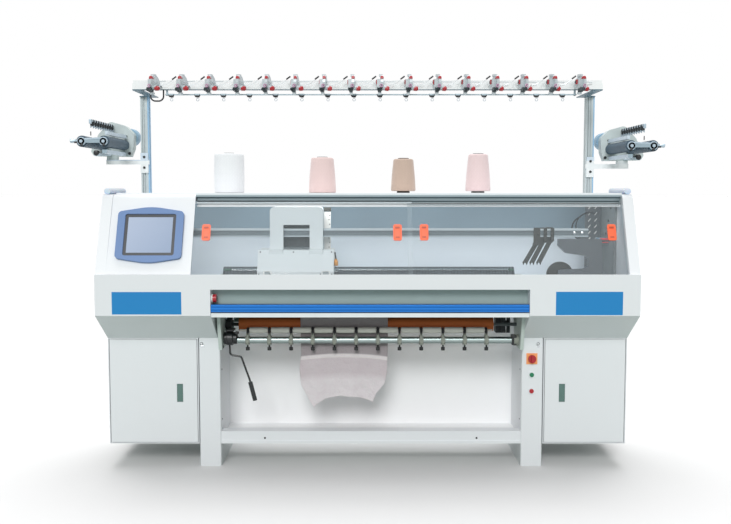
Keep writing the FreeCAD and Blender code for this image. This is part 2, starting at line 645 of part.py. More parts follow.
def front_rail():
    """Extruded rail under the windows: a high front lip and two grooves."""
    low = "seat_high - 1"
    mid = "seat_high + 5"
    corners = [("0", "box_top"), ("rail_deep", "box_top"), ("rail_deep", mid), ("rail_deep - 12", mid),
               ("rail_deep - 12", low), ("hood_set + 10.5", low), ("hood_set + 10.5", mid), ("hood_set + 7", mid),
               ("hood_set + 7", low), ("hood_set - 10", low), ("hood_set - 10", "seat_high + rail_lip"),
               ("0", "seat_high + rail_lip")]
    seat(prism("front_rail", "YZ_Plane", corners, "cap_thick - half_wide", "2 * (half_wide - cap_thick)"),
         "front_rail")


def hood_sheet(name, out, thick, start, length):
    """A bent sheet of the hood: it leans back from the rail and turns flat towards the table.

    out is how far its outer face lies inside the outer window's.
    """
    inner = "(%s + %s)" % (out, thick)

    def foot(far):
        return "hood_set + %s / %s" % (far, COS)

    def bend(far):
        return "%s + (hood_top - %s - seat_high) * %s" % (foot(far), far, TAN)

    corners = [(foot(out), "seat_high"), (bend(out), "hood_top - " + out), ("hood_back", "hood_top - " + out),
               ("hood_back", "hood_top - " + inner), (bend(inner), "hood_top - " + inner), (foot(inner), "seat_high")]
    return prism(name, "YZ_Plane", corners, start, length,
                 [("hood_round - " + out, [1]), ("hood_round - " + inner, [4])])


def left_window():
    seat(hood_sheet("left_window", "0", "window_thick", "-window_left", "window_left + window_meet"), "left_window")


def right_window():
    seat(hood_sheet("right_window", "track_step", "window_thick", "window_meet - window_overlap",
                    "window_right - window_meet + window_overlap"), "right_window")


def screen_panel():
    """White panel at the left of the hood, bent like the end cap beside it."""
    inner = "panel_thick"
    foot = "hood_set - panel_out"
    low = "seat_high + rail_lip"
    rise = "(cap_top - %s) * %s" % (low, TAN)
    corners = [(foot, low), ("%s + %s" % (foot, rise), "cap_top"), ("table_front", "cap_top"),
               ("table_front", "cap_top - " + inner),
               ("%s + %s + %s / %s - %s * %s" % (foot, rise, inner, COS, inner, TAN), "cap_top - " + inner),
               ("%s + %s / %s" % (foot, inner, COS), low)]
    seat(prism("screen_panel", "YZ_Plane", corners, "cap_thick - half_wide", "half_wide - cap_thick - panel_edge",
               [("cap_round", [1]), ("cap_round - panel_thick", [4])]), "screen_panel")


LEAN = "90 - hood_slope"


def on_hood(z, out):
    """How far back the hood's slope lies at height z, out inside the outer window's face."""
    return "(hood_set + %s / %s + (%s - seat_high) * %s)" % (out, COS, z, TAN)


def slab(name, wide, high, start, thick, corner=None, x="0"):
    """A slab with rounded or plain corners, drawn flat about the origin, to be leant against the hood."""
    corners = [("%s %s %s / 2" % (x, sx, wide), "%s%s / 2" % (sy, high))
               for sx, sy in (("-", "-"), ("+", "-"), ("+", ""), ("-", ""))]
    return prism(name, "XY_Plane", corners, start, thick, [(corner, [0, 1, 2, 3])] if corner else ())


def on_panel(z):
    """How far back the screen panel's face lies at height z."""
    return "(hood_set - panel_out + (%s - seat_high - rail_lip) * %s)" % (z, TAN)


def screen_bezel():
    """Moulded bezel with an arched top and bottom and a sunk frame round the glass."""
    half, top = "bezel_wide / 2", "bezel_high / 2"
    corners = [("-" + half, "bezel_arch - " + top), ("0", "-" + top), (half, "bezel_arch - " + top),
               (half, top + " - bezel_arch"), ("0", top), ("-" + half, top + " - bezel_arch")]
    blank = prism("bezel_blank", "XY_Plane", corners, "0", "bezel_thick",
                  [("bezel_corner", [0, 2, 3, 5]), ("bezel_wide", [1, 4])])
    sunk = slab("bezel_sunk", "inner_wide", "inner_high", "bezel_thick - inner_deep", "inner_deep + 1", "12")
    seat_cut = slab("bezel_seat", "(glass_wide + 1)", "(glass_high + 1)", "bezel_thick - inner_deep - glass_thick",
                    "inner_deep + glass_thick")
    seat(cut("screen_bezel", blank, [sunk, seat_cut]), "screen_bezel",
         "-screen_x", on_panel("screen_z"), "screen_z", LEAN)


def screen_glass():
    glass = slab("screen_glass", "glass_wide", "glass_high", "bezel_thick - inner_deep - glass_thick", "glass_thick")
    seat(glass, "screen_glass", "-screen_x", on_panel("screen_z"), "screen_z", LEAN)


def window_handles(side):
    """Two finger grips on a window, each with a scooped slot."""
    name = side + "_window_handles"
    if side == "left":
        places, out = ("-window_left + grip_outer", "window_meet - grip_inset"), "0"
    else:
        places, out = ("window_meet - window_overlap + 72.5", "window_right - grip_far"), "track_step"
    grips = []
    for i, x in enumerate(places):
        plate = slab("%s_%d" % (name, i), "grip_wide", "grip_high", "0", "grip_thick", "9", x)
        scoop = slab("%s_scoop_%d" % (name, i), "(grip_wide / 2)", "(grip_high / 2)", "grip_thick - 2", "3", x=x)
        grips.append(cut("%s_grip_%d" % (name, i), plate, [scoop]))
    seat(group(name, grips), name, "0", on_hood("grip_z", out), "grip_z", LEAN)


def upper_track():
    """Extrusion under the front of the table, with a slot for the flat top of each window."""
    back = "track_front + track_deep"
    low = "table_high - track_high"
    mouth = "hood_back - 10"
    floor_y = "hood_back + 4"
    corners = [("track_front", "table_high - 16"), ("track_front", "table_high"), (back, "table_high"), (back, low),
               (mouth, low)]
    for out in ("track_step", "0"):
        slot = "hood_top - %s - window_thick / 2 - track_slot / 2" % out
        corners += [(mouth, slot), (floor_y, slot), (floor_y, slot + " + track_slot"), (mouth, slot + " + track_slot")]
    corners.append((mouth, "table_high - 16"))
    corners.reverse()
    seat(prism("upper_track", "YZ_Plane", corners, "-panel_edge", "half_wide - cap_thick + panel_edge"),
         "upper_track")


def table_top():
    """Sheet that the yarn packages stand on, with its front folded down behind the window track."""
    under = "table_high - table_thick"
    lip = "table_front + sheet_thick"
    corners = [("table_front", "cap_top - 30"), (lip, "cap_top - 30"), (lip, under), (REAR, under),
               (REAR, "table_high"), ("table_front", "table_high")]
    seat(prism("table_top", "YZ_Plane", corners, "cap_thick - half_wide", "2 * (half_wide - cap_thick)"), "table_top")


def rear_cover():
    seat(box("rear_cover_sheet", "-half_wide", REAR, "leg_high", "2 * half_wide", "wall", "cap_top - leg_high"),
         "rear_cover", "-half_wide", REAR, "leg_high")


def end_lamps():
    """Frosted lamp tubes lying along the tops of the end caps, each with a bulb at its near end."""
    lamps = []
    for i, sign in enumerate(("-", "")):
        x = "%s(half_wide - lamp_radius - 2)" % sign
        z = "cap_top + lamp_radius - 0.4"
        tube = rod("lamp_%d" % i, "Y", x, "lamp_front", z, "lamp_radius", "lamp_long")
        neck = bar("lamp_neck_%d" % i, 12, "Y", x, "lamp_front - 8", z, "lamp_radius / 2", "9")
        bulb = bar("lamp_bulb_%d" % i, 16, "Y", x, "lamp_front - 26", z, "lamp_radius", "19")
        flat = box("lamp_flat_%d" % i, x + " - lamp_radius", "lamp_front - 30", "cap_top - 3", "2 * lamp_radius",
                   "lamp_long + 32", "3")
        lamps.append(cut("lamp_tube_%d" % i, join("lamp_blank_%d" % i, [tube, neck, bulb]), [flat]))
    seat(group("end_lamps", lamps), "end_lamps")


# ---- operator's controls -----------------------------------------------------------------------

BAY = "box_left + box_right"


def apron_panel():
    """Recessed apron between the boxes, folded forward into the sill."""
    back = "apron_back + sheet_thick"
    top = "sill_low + sill_high"
    corners = [("sill_front", "sill_low"), (back, "sill_low"), (back, "box_top"), ("apron_back", "box_top"),
               ("apron_back", top), ("sill_front", top)]
    seat(prism("apron_panel", "YZ_Plane", corners, "-box_left", BAY), "apron_panel")


def operating_bar():
    """Ribbed bar that the operator tilts to start, slow or stop the carriage."""
    front, back = "bar_y - bar_deep / 2", "bar_y + bar_deep / 2"
    low, top = "bar_z - bar_high / 2", "bar_z + bar_high / 2"
    valley = front + " + rib_deep"
    corners = [(front + " + 4", low), (back, low), (back, top), (front + " + 4", top), (front, top + " - 4"),
               (front, "bar_z + 8"), (valley, "bar_z + 6.5"), (front, "bar_z + 5"), (front, "bar_z - 5"),
               (valley, "bar_z - 6.5"), (front, "bar_z - 8"), (front, low + " + 4")]
    bar = prism("bar_profile", "YZ_Plane", corners, "-box_left + bar_gap", BAY + " - 2 * bar_gap")
    pins = [rod("bar_pin_left", "X", "-box_left - pin_long", "bar_y", "bar_z", "bar_pin", "pin_long + bar_gap + 4"),
            rod("bar_pin_right", "X", "box_right - bar_gap - 4", "bar_y", "bar_z", "bar_pin", "pin_long + bar_gap + 4")]
    seat(join("operating_bar", [bar] + pins), "operating_bar")


def estop_button():
    head = rod("stop_head", "X", "-box_left + 7", "stop_y", "stop_z", "stop_radius", "15")
    stem = rod("stop_stem", "X", "-box_left - 10", "stop_y", "stop_z", "stem_radius", "18")
    seat(join("estop_button", [head, stem]), "estop_button")


def main_switch():
    """Square plate with a turning knob and its grip."""
    plate = box("switch_square", "control_x - plate_size / 2", "leg_front - sheet_thick", "switch_z - plate_size / 2",
                "plate_size", "sheet_thick", "plate_size")
    bore = rod("switch_plate_bore", "Y", "control_x", "leg_front - 5", "switch_z", "shaft_radius + running", "10")
    seat(cut("switch_plate", plate, [bore]), "switch_plate")
    dial = bar("knob_dial", 24, "Y", "control_x", "leg_front - 15", "switch_z", "knob_radius", "11.5")
    grip = box("knob_grip", "control_x - 4", "leg_front - 23", "switch_z - knob_radius + 1", "8", "10",
               "2 * knob_radius - 2")
    shaft = rod("knob_shaft", "Y", "control_x", "leg_front - 5", "switch_z", "shaft_radius", "18")
    seat(join("switch_knob", [dial, grip, shaft]), "switch_knob")


def push_button(name, z):
    seat(rod(name, "Y", "control_x", "leg_front - 7", z, "button_radius", "14"), name,
         "control_x", "leg_front - 7", z)


# ---- needle beds -------------------------------------------------------------------------------

SIN_B = "sin(bed_slope * 1deg)"
COS_B = "cos(bed_slope * 1deg)"
BED_LEFT = "bed_shift - bed_long / 2"


def on_bed(down, out):
    """A point of the front bed's section: down the slope from its upper edge, and out from its face."""
    return ("gap_y - gap_half - (%s) * %s - (%s) * %s" % (down, COS_B, out, SIN_B),
            "bed_top - (%s) * %s + (%s) * %s" % (down, SIN_B, out, COS_B))


def needle_beds():
    """Two sloped beds with rows of slots, their upper edges meeting at the gap that the fabric leaves by."""
    upper = ("gap_y - gap_half", "bed_top - bed_thick / " + COS_B)
    corners = [on_bed("0", "0"), on_bed("bed_wide", "0"), on_bed("bed_wide", "-bed_thick"), upper]
    body = prism("front_bed", "YZ_Plane", corners, BED_LEFT, "bed_long")
    slot = outline(body, "slot_outline", "YZ_Plane", [on_bed("4", "1"), on_bed("slot_run", "1"),
                                                      on_bed("slot_run", "-slot_deep"), on_bed("4", "-slot_deep")],
                   BED_LEFT + " + slot_pitch / 2 - slot_wide / 2")
    pocket = body.newObject("PartDesign::Pocket", "slot")
    pocket.Profile = slot
    pocket.Reversed = True
    bind(pocket, "Length", "slot_wide")
    row = body.newObject("PartDesign::LinearPattern", "slots")
    row.Originals = [pocket]
    row.Direction = (plane_of(body, "X_Axis"), [""])
    bind(row, "Occurrences", "floor(bed_long / slot_pitch)")
    bind(row, "Length", "(floor(bed_long / slot_pitch) - 1) * slot_pitch")
    body.Tip = row
    seat(body, "front_needle_bed")
    seat(mirrored("rear_bed", body, Vector(0, 1, 0), y="gap_y - depth / 2"), "rear_needle_bed", y="depth / 2")


def bed_beam():
    """Casting under the beds: two long ribs between two end plates that also carry the take-down."""
    rib_top = "bed_top - (bed_thick + 1) / " + COS_B
    inner = "gap_y - gap_half - 3"
    low = "box_low"
    heel = on_bed("bed_wide", "-bed_thick - 0.5")
    rib = prism("front_rib", "YZ_Plane", [heel, (inner, rib_top + " - 3"), (inner, "bed_top - 112"),
                                          (inner + " - 61", low), (heel[0], low)],
                LEFT_IN + " + cheek_thick", "2 * bay_half - 2 * cheek_thick")
    far = mirrored("rear_rib", rib, Vector(0, 1, 0), y="gap_y")
    spread = "129"
    cheek = [("gap_y - 77", "tube_z - 37"), ("gap_y + 83", "tube_z - 37"), ("gap_y + " + spread, low),
             ("gap_y + " + spread, heel[1]), ("gap_y + 6", rib_top + " - 3"), ("gap_y - 6", rib_top + " - 3"),
             ("gap_y - " + spread, heel[1]), ("gap_y - " + spread, low)]
    cheeks = [prism("left_cheek", "YZ_Plane", cheek, LEFT_IN, "cheek_thick"),
              prism("right_cheek", "YZ_Plane", cheek, "box_right - cheek_thick", "cheek_thick")]
    bores = [rod("axle_bore", "X", "-box_left - 5", ROLLER_Y, "roller_z", "axle_radius + running", BAY + " + 10"),
             rod("tube_bore", "X", "-box_left - 5", "tube_y", "tube_z", "tube_radius + running", BAY + " + 10")]
    seat(cut("bed_beam", join("beam_blank", [rib, far] + cheeks), bores), "bed_beam")


# ---- feeder rails and yarn carriers ------------------------------------------------------------

def feeder_rail(name, low_y, start, length):
    """A flat bar with a groove along each face."""
    far = "%s + feed_thick" % low_y
    mid = "feed_low + feed_high / 2"
    corners = [(low_y, "feed_low"), (far, "feed_low"), (far, mid + " - 6"), (far + " - feed_groove", mid + " - 4"),
               (far + " - feed_groove", mid + " + 4"), (far, mid + " + 6"), (far, "feed_low + feed_high"),
               (low_y, "feed_low + feed_high"), (low_y, mid + " + 6"), (low_y + " + feed_groove", mid + " + 4"),
               (low_y + " + feed_groove", mid + " - 4"), (low_y, mid + " - 6")]
    return prism(name, "YZ_Plane", corners, start, length)


def feeder_rails():
    length = "feed_left + feed_right"
    rails = [feeder_rail("front_feeder_rail", "gap_y - feed_half - feed_thick", "-feed_left", length),
             feeder_rail("rear_feeder_rail", "gap_y + feed_half", "-feed_left", length)]
    seat(group("feeder_rails", rails), "feeder_rails")


def rail_brackets():
    """Brackets on the boxes that hold the ends of the feeder rails; the right one is cut out like a C."""
    top = "feed_low - 11"
    hook = [("feed_right + 77", "box_top"), ("feed_right + 64", top), ("feed_right", top),
            ("feed_right", "feed_low + feed_high"), ("feed_right - 40", "feed_low + feed_high"),
            ("feed_right - 40", top), ("feed_right - 132", top),
            ("feed_right - 132", top + " - 31"), ("feed_right - 98", top + " - 63"), ("feed_right - 13", top + " - 75"),
            ("feed_right + 6", top + " - 91"), ("feed_right + 6", "box_top + 86"), ("feed_right - 13", "box_top + 72"),
            ("feed_right - 128", "box_top + 66"), ("feed_right - 128", "box_top")]
    hook = list(reversed(hook))
    right = prism("right_bracket", "XZ_Plane", hook, "gap_y - feed_half", "2 * feed_half")
    left = box("left_bracket", "-feed_left", "gap_y - feed_half", "box_top", "60", "2 * feed_half",
               "feed_low + feed_high - box_top")
    seat(group("rail_brackets", [left, right]), "rail_brackets")


LANES = [("gap_y - feed_half - feed_thick - carrier_clear - carrier_thick", "gap_y - 6"),
         ("gap_y - feed_half + carrier_clear", "gap_y - 1.25"),
         ("gap_y + feed_half - carrier_clear - carrier_thick", "gap_y + 3.5")]


def yarn_carrier(number):
    """A block riding on a feeder rail, with a leaning finger and two tips down to the gap.

    The finger of the outer lane steps in lower down, so that the carriers pass each other.
    """
    lane, tip_y = LANES[number]
    name = "yarn_carrier_%d" % (number + 1)
    x = "(carrier_x + %d * carrier_pitch)" % number
    high = "carrier_high" if number else "(carrier_high + lane_drop)"
    low = "feed_low + feed_high + carrier_lift - " + high
    block = box(name + "_block", x, lane, low, "carrier_wide", "carrier_thick", high)
    step_y, step_deep = {0: (lane, "(gap_y - 6 + finger_thick) - (%s)" % lane),
                         1: (lane, "gap_y - 1.25 + finger_thick - (%s)" % lane),
                         2: ("gap_y + 3.5", "%s + carrier_thick - (gap_y + 3.5)" % lane)}[number]
    step = box(name + "_step", x, step_y, low + " - 8", "carrier_wide", step_deep, "8.5")
    left = x + " - finger_lean"
    corners = [(left + " + 4", "finger_tip"), (left + " + 9", "finger_tip + 12"), (left + " + 14", "finger_tip + 12"),
               (left + " + 19", "finger_tip"), (left + " + 24", "finger_tip + 14"),
               (x + " + carrier_wide - 4", low + " - 7"), (x + " + 2", low + " - 7"), (left, "finger_tip + 14")]
    finger = prism(name + "_finger", "XZ_Plane", corners, tip_y, "finger_thick")
    seat(join(name, [block, step, finger]), name)


# ---- carriage ----------------------------------------------------------------------------------

BRIDGE_FRONT = "gap_y - bridge_half"
BRIDGE_LEFT = "-carriage_x - bridge_wide / 2"


def carriage():
    """Two saddles over the beds, joined by a bridge that the feeder rails pass through."""
    rise = "bed_clear / " + COS_B
    inner = "gap_y - saddle_gap"
    edge = "bed_top - saddle_gap + gap_half + " + rise
    corners = [(inner, edge), (inner + " - (%s - saddle_low)" % edge, "saddle_low"), ("saddle_front", "saddle_low"),
               ("saddle_front", "saddle_low + 21"), (BRIDGE_FRONT + " - 26", "saddle_top"), (BRIDGE_FRONT, "saddle_top"),
               (BRIDGE_FRONT, "bridge_low"), (inner, "bridge_low")]
    front = prism("saddle_profile", "YZ_Plane", corners, "-carriage_x - saddle_wide / 2", "saddle_wide",
                  [("8", [3]), ("12", [4])])
    right = "-carriage_x + bridge_wide / 2"
    feet_x = (BRIDGE_LEFT, right + " - pillar_wide")
    notches = [box("notch_%d" % i, x + " - foot_gap", BRIDGE_FRONT + " - foot_deep - foot_gap", "bridge_low",
                   "pillar_wide + 2 * foot_gap", "foot_deep + 2", "100") for i, x in enumerate(feet_x)]
    notched = cut("front_saddle", front, notches)
    rear = mirrored("rear_saddle", notched, Vector(0, 1, 0), y="gap_y")
    seat(group("carriage_saddles", [notched, rear]), "carriage_saddles")

    face = [(BRIDGE_LEFT, "bridge_low"), (right, "bridge_low"), (right, "bridge_top"), (BRIDGE_LEFT, "bridge_top")]
    shell = prism("bridge_blank", "XZ_Plane", face, BRIDGE_FRONT, "2 * bridge_half", [("bridge_round", [2, 3])])
    feet = [box("foot_%d_%d" % (i, k), x, y, "bridge_low", "pillar_wide", "foot_deep + 1", "foot_high")
            for i, x in enumerate(feet_x)
            for k, y in enumerate((BRIDGE_FRONT + " - foot_deep", BRIDGE_FRONT + " + 2 * bridge_half - 1"))]
    tunnel = box("bridge_tunnel", BRIDGE_LEFT + " - 5", BRIDGE_FRONT + " + bridge_wall", "bridge_low - 5",
                 "bridge_wide + 10", "2 * bridge_half - 2 * bridge_wall", "bridge_top - bridge_low - bridge_wall + 5")
    window = box("bridge_window", BRIDGE_LEFT + " + pillar_wide", BRIDGE_FRONT + " - 5", "bridge_low - 5",
                 "bridge_wide - 2 * pillar_wide", "2 * bridge_half + 10", "bridge_top - bridge_sill - bridge_low + 5")
    seat(cut("carriage_bridge", join("bridge_with_feet", [shell] + feet), [tunnel, window]), "carriage_bridge")


# ---- take-down ---------------------------------------------------------------------------------

ROLLER_Y = "(gap_y + nip_half + roller_radius)"
PRESS_Y = "(gap_y - nip_half - press_radius)"


def takedown_roller():
    """Covered roller on its axle, with the gear that drives it at the left end."""
    drum = rod("drum", "X", "-roller_left", ROLLER_Y, "roller_z", "roller_radius", "roller_left + roller_right")
    axle = rod("drum_axle", "X", LEFT_IN + " + 3", ROLLER_Y, "roller_z", "axle_radius", "2 * bay_half - 6")
    gear_x = LEFT_IN + " + cheek_thick + 6"
    hub = rod("gear_disc", "X", gear_x, ROLLER_Y, "roller_z", "gear_radius - tooth_high", "gear_wide")
    teeth = []
    for i in range(int(size("gear_teeth"))):
        tooth = doc.addObject("Part::Box", "tooth_%d" % i)
        tooth.Placement = Placement(Vector(), Rotation(Vector(1, 0, 0), 1))
        bind(tooth, "Length", "gear_wide")
        bind(tooth, "Width", "gear_radius")
        bind(tooth, "Height", "tooth_high")
        bind(tooth, "Placement.Rotation.Angle", "%d * 360 / gear_teeth" % i)
        bind(tooth, "Placement.Base.x", gear_x)
        bind(tooth, "Placement.Base.y", ROLLER_Y)
        bind(tooth, "Placement.Base.z", "roller_z")
        teeth.append(tooth)
    seat(join("takedown_roller", [drum, axle, hub] + teeth), "takedown_roller")


def arm_x(number):
    return "(%d * arm_pitch - arm_first)" % number


def press_shaft():
    """Tube with twelve sprung arms, each with a thumb screw, that hold the press rollers to the fabric."""
    end_long = "(hub_inset + hub_wide)"
    pieces = [bar("press_tube", 24, "X", LEFT_IN + " + 2", "tube_y", "tube_z", "tube_radius", "2 * bay_half - 4"),
              rod("tube_end_left", "X", LEFT_IN + " + 2", "tube_y", "tube_z", "tube_radius", end_long),
              rod("tube_end_right", "X", RIGHT_IN + " - 2 - " + end_long, "tube_y", "tube_z", "tube_radius", end_long),
              bar("right_collar", 24, "X", "box_right - cheek_thick - 22", "tube_y", "tube_z", "tube_radius + 10",
                  "21")]
    top = "press_z + press_rod + 6"
    for i in range(ARMS):
        left = arm_x(i) + " - arm_thick / 2"
        corners = [("tube_y - 18", "tube_z - 18"), ("tube_y + 17", "tube_z - 18"), ("tube_y + 20", "tube_z - 10"),
                   ("tube_y + 20", "tube_z + 14"), (PRESS_Y + " + 10", top), (PRESS_Y + " - 12", top),
                   ("tube_y - 21", "tube_z + 14"), ("tube_y - 21", "tube_z - 10")]
        pieces.append(prism("arm_%d" % i, "YZ_Plane", corners, left, "arm_thick"))
        pieces.append(bar("screw_%d" % i, 6, "Z", arm_x(i), "tube_y - 4", "tube_z - 40", "3", "24"))
        pieces.append(bar("thumb_%d" % i, 10, "Z", arm_x(i), "tube_y - 4", "tube_z - 46", "thumb_radius",
                          "thumb_long"))
    bore = bar("press_bore", 8, "X", "-roller_left", PRESS_Y, "press_z", "(press_rod + running) / cos(22.5deg)",
               "roller_left + roller_right")
    seat(cut("press_shaft", join("press_blank", pieces), [bore]), "press_shaft")


def press_rollers():
    """Row of press rollers on one rod, one between each two arms; the rod's left end is turned round."""
    pieces = [bar("press_rod_bar", 8, "X", "-roller_left + 8", PRESS_Y, "press_z", "press_rod",
                  "roller_left + roller_right - 16"),
              rod("press_rod_end", "X", "-roller_left + 6", PRESS_Y, "press_z", "press_rod", "14")]
    for i in range(ARMS - 1):
        pieces.append(bar("press_roller_%d" % i, 16, "X", arm_x(i) + " + arm_thick / 2 + 3", PRESS_Y, "press_z",
                          "press_radius", "arm_pitch - arm_thick - 6"))
    seat(join("press_rollers", pieces), "press_rollers")


def crank_handle():
    """Bent rod on a split hub, with a grip: it swings the press tube off the fabric."""
    hub = rod("crank_hub", "X", "-hub_x - hub_wide / 2", "tube_y", "tube_z", "hub_radius", "hub_wide")
    bore = rod("crank_bore", "X", "-hub_x - hub_wide", "tube_y", "tube_z", "tube_radius + 0.02", "2 * hub_wide")
    y = size("tube_y")
    low = size("tube_z")
    x = -size("hub_x")
    wrist, tip = size("crank_wrist"), size("crank_tip")
    points = [Vector(x, y, low - size("crank_root")), Vector(x + 2, y, low - size("crank_knee")),
              Vector(x + size("crank_side"), y, low - size("crank_elbow")),
              Vector(x + size("crank_reach"), y, low - wrist),
              Vector(x + size("crank_reach") + tip / 4, y, low - wrist - tip)]
    lever = bent_rod("crank_bar", points, size("crank_radius"), 14, 8)
    aim = (points[-1] - points[-2]).normalize()
    grip = bar("crank_grip", 16, "Z", "0", "0", "0", "grip_radius", "grip_long")
    grip.setExpression("Placement.Base.x", None)
    grip.setExpression("Placement.Base.y", None)
    grip.setExpression("Placement.Base.z", None)
    grip.Placement = Placement(points[-1] - aim * 8, Rotation(Vector(0, 0, 1), aim))
    seat(join("crank_handle", [cut("crank_ring", hub, [bore]), lever, grip]), "crank_handle")


FOLD_WIDE = 80


def knitted_fabric():
    """Shaped panel hanging from the gap, through the rollers, with soft folds towards its hem.

    The thin folded sheet is lofted on its own and trimmed to the outline of the knitted piece.
    """
    corners = [("-310", "bed_top - 18"), ("-304", "512"), ("-313", "444"), ("-304", "369"), ("-264", "300"),
               ("-246", "268"), ("-180", "303"), ("-111", "318"), ("-42", "311"), ("24", "290"), ("40", "330"),
               ("79", "378"), ("90", "427"), ("93", "528"), ("94", "bed_top - 18")]
    panel = prism("fabric_outline", "XZ_Plane", corners, "gap_y - 50", "100")
    middle, half = size("gap_y"), size("cloth_thick") / 2
    top, deep = size("fold_top"), size("fold_deep")
    crests = [-350, -272, -206, -118, -52, 38, 104]

    def section(z, share):
        """Outline of the sheet at height z: waves as alike arcs, as deep as their width and the share allow."""
        edges = []
        for side in (-half, half):
            for i, (start, end) in enumerate(zip(crests, crests[1:])):
                near, far = Vector(start, middle + side, z), Vector(end, middle + side, z)
                if share:
                    swell = share * deep * (end - start) / FOLD_WIDE * (-1) ** i
                    peak = (near + far) / 2 + Vector(0, swell, 0)
                    edges.append(Part.Arc(near, peak, far).toShape())
                else:
                    edges.append(Part.LineSegment(near, far).toShape())
        for x in (crests[0], crests[-1]):
            edges.append(Part.LineSegment(Vector(x, middle - half, z), Vector(x, middle + half, z)).toShape())
        return Part.Wire(Part.__sortEdges__(edges))

    levels = [(250, 1.0), (top, 0.0), (size("bed_top"), 0.0)]
    sheet_body = Part.makeLoft([section(z, share) for z, share in levels], True, True)
    folded = doc.addObject("Part::Feature", "folded_sheet")
    folded.Shape = sheet_body
    whole = doc.addObject("Part::Common", "knitted_fabric")
    whole.Base = folded
    whole.Tool = panel
    seat(whole, "knitted_fabric")


# ---- yarn stand --------------------------------------------------------------------------------

def mast(name, middle):
    """Square aluminium profile with a slot down each side."""
    half, slot, deep = "mast_side / 2", "mast_slot / 2", "mast_groove"
    side = [("-", "-"), ("-", "+")]
    ring = []
    for turn in range(4):
        for across, up in ((half, half), (slot, half), (slot, "(mast_side / 2 - %s)" % deep),
                           ("(-mast_slot / 2)", "(mast_side / 2 - %s)" % deep), ("(-mast_slot / 2)", half)):
            spun = {0: (across, up), 1: ("-(%s)" % up, across), 2: ("-(%s)" % across, "-(%s)" % up),
                    3: (up, "-(%s)" % across)}[turn]
            ring.append(("%s + %s" % (middle, spun[0]), "mast_front + mast_side / 2 + %s" % spun[1]))
    return prism(name, "XY_Plane", ring, "table_high", "stand_high - table_high")


def masts():
    seat(group("masts", [mast("left_mast", "-mast_x"), mast("right_mast", "mast_x")]), "masts")


def yarn_rail():
    """Folded channel across the masts, on two brackets whose ends turn up beside it."""
    top = "stand_high + bracket_thick"
    back = "rail_y + rail_thick"
    inner = "rail_y + sheet_thick"
    corners = [("rail_y", top), (back, top), (back, top + " + sheet_thick"), (inner, top + " + sheet_thick"),
               (inner, top + " + rail_high - sheet_thick"), (back, top + " + rail_high - sheet_thick"),
               (back, top + " + rail_high"), ("rail_y", top + " + rail_high")]
    pieces = [prism("rail_channel", "YZ_Plane", corners, "-rail_half", "2 * rail_half")]
    rear = "mast_front + mast_side"
    for name, sign in (("left", "-"), ("right", "")):
        inner = sign + "(rail_half - 38)"
        lip = sign + "(rail_half + bracket_thick)"
        outer = sign + "(mast_x + mast_side / 2)"
        plate = [(inner, "rail_y"), (lip, "rail_y"), (lip, "mast_front - 40"), (outer, "mast_front - 10"),
                 (outer, rear), (inner, rear)]
        pieces.append(prism(name + "_bracket_plate", "XY_Plane", plate, "stand_high", "bracket_thick"))
        lip_x = "-rail_half - bracket_thick" if sign else "rail_half"
        pieces.append(box(name + "_turned_end", lip_x, "rail_y", "stand_high", "bracket_thick", "rail_thick",
                          "bracket_thick + rail_high - 12"))
    seat(join("yarn_rail", pieces), "yarn_rail")


def tensioner(number):
    """Tension disc with its cap, knobs and yarn-break arm, turned on its post, and a foot on the rail."""
    tag = "unit_%d" % number
    disc = bar(tag + "_disc", 20, "X", "-disc_thick / 2", "0", "0", "disc_radius", "disc_thick")
    body = box(tag + "_body", "-disc_thick / 2 - 16", "-16", "-26", "18", "30", "40")
    cap = box(tag + "_cap", "-12", "-8", "disc_radius - 6", "16", "20", "10")
    knob = bar(tag + "_knob", 8, "X", "disc_thick / 2 - 2", "-10", "-22", "9", "16")
    arm = box(tag + "_arm", "disc_thick / 2 - 1", "-2", "2", "55", "3", "3")
    head = join(tag + "_head", [disc, body, cap, knob, arm])
    x = "(%d * unit_pitch - unit_first)" % number
    bind(head, "Placement.Rotation.Angle", "%d * unit_step - unit_turn" % number)
    for prop, text in (("x", x), ("y", "unit_y"), ("z", "unit_z")):
        bind(head, "Placement.Base." + prop, text)
    foot = box(tag + "_foot", x + " - 8", "unit_y + 8", "unit_z - 14", "16", "rail_y - unit_y - 8", "22")
    return join(tag, [head, foot])


def yarn_tensioners():
    seat(group("yarn_tensioners", [tensioner(i) for i in range(UNITS)]), "yarn_tensioners")


def guide_rod():
    """Thin rod under the rail with a yarn guide for each tensioner."""
    y = "(rail_y + rail_thick / 2)"
    pieces = [bar("guide_bar", 8, "X", "-guide_left", y, "guide_z", "guide_radius", "guide_left + guide_right")]
    for i, x in enumerate(("-guide_left + 4", "guide_right - 12")):
        pieces.append(box("guide_hanger_%d" % i, x, y + " - 4", "guide_z - 5", "8", "8",
                          "stand_high + bracket_thick - guide_z + 5"))
    for i in range(UNITS):
        x = "(%d * guide_pitch - guide_first)" % i
        saddle = [(x + " - 13", "guide_z + 4"), (x + " - 6", "guide_z - 7"), (x + " + 6", "guide_z - 7"),
                  (x + " + 13", "guide_z + 4")]
        pieces.append(prism("guide_saddle_%d" % i, "XZ_Plane", saddle, y + " - 5", "10"))
    seat(join("guide_rod", pieces), "guide_rod")


def cable_loop():
    """Short cable hanging in a loop between two sockets under the yarn rail."""
    y = size("rail_y") + size("rail_thick") / 2
    top = size("stand_high") + size("bracket_thick")
    left = size("cable_left") - size("rail_half")
    right = left + size("cable_span")
    low = top - size("cable_drop")
    points = [Vector(left, y, top), Vector(left, y, low), Vector(right, y, low), Vector(right, y, top)]
    seat(bent_rod("cable_run", points, size("cable_radius"), size("cable_span") / 2, 10), "cable_loop")


# ---- side feeders ------------------------------------------------------------------------------

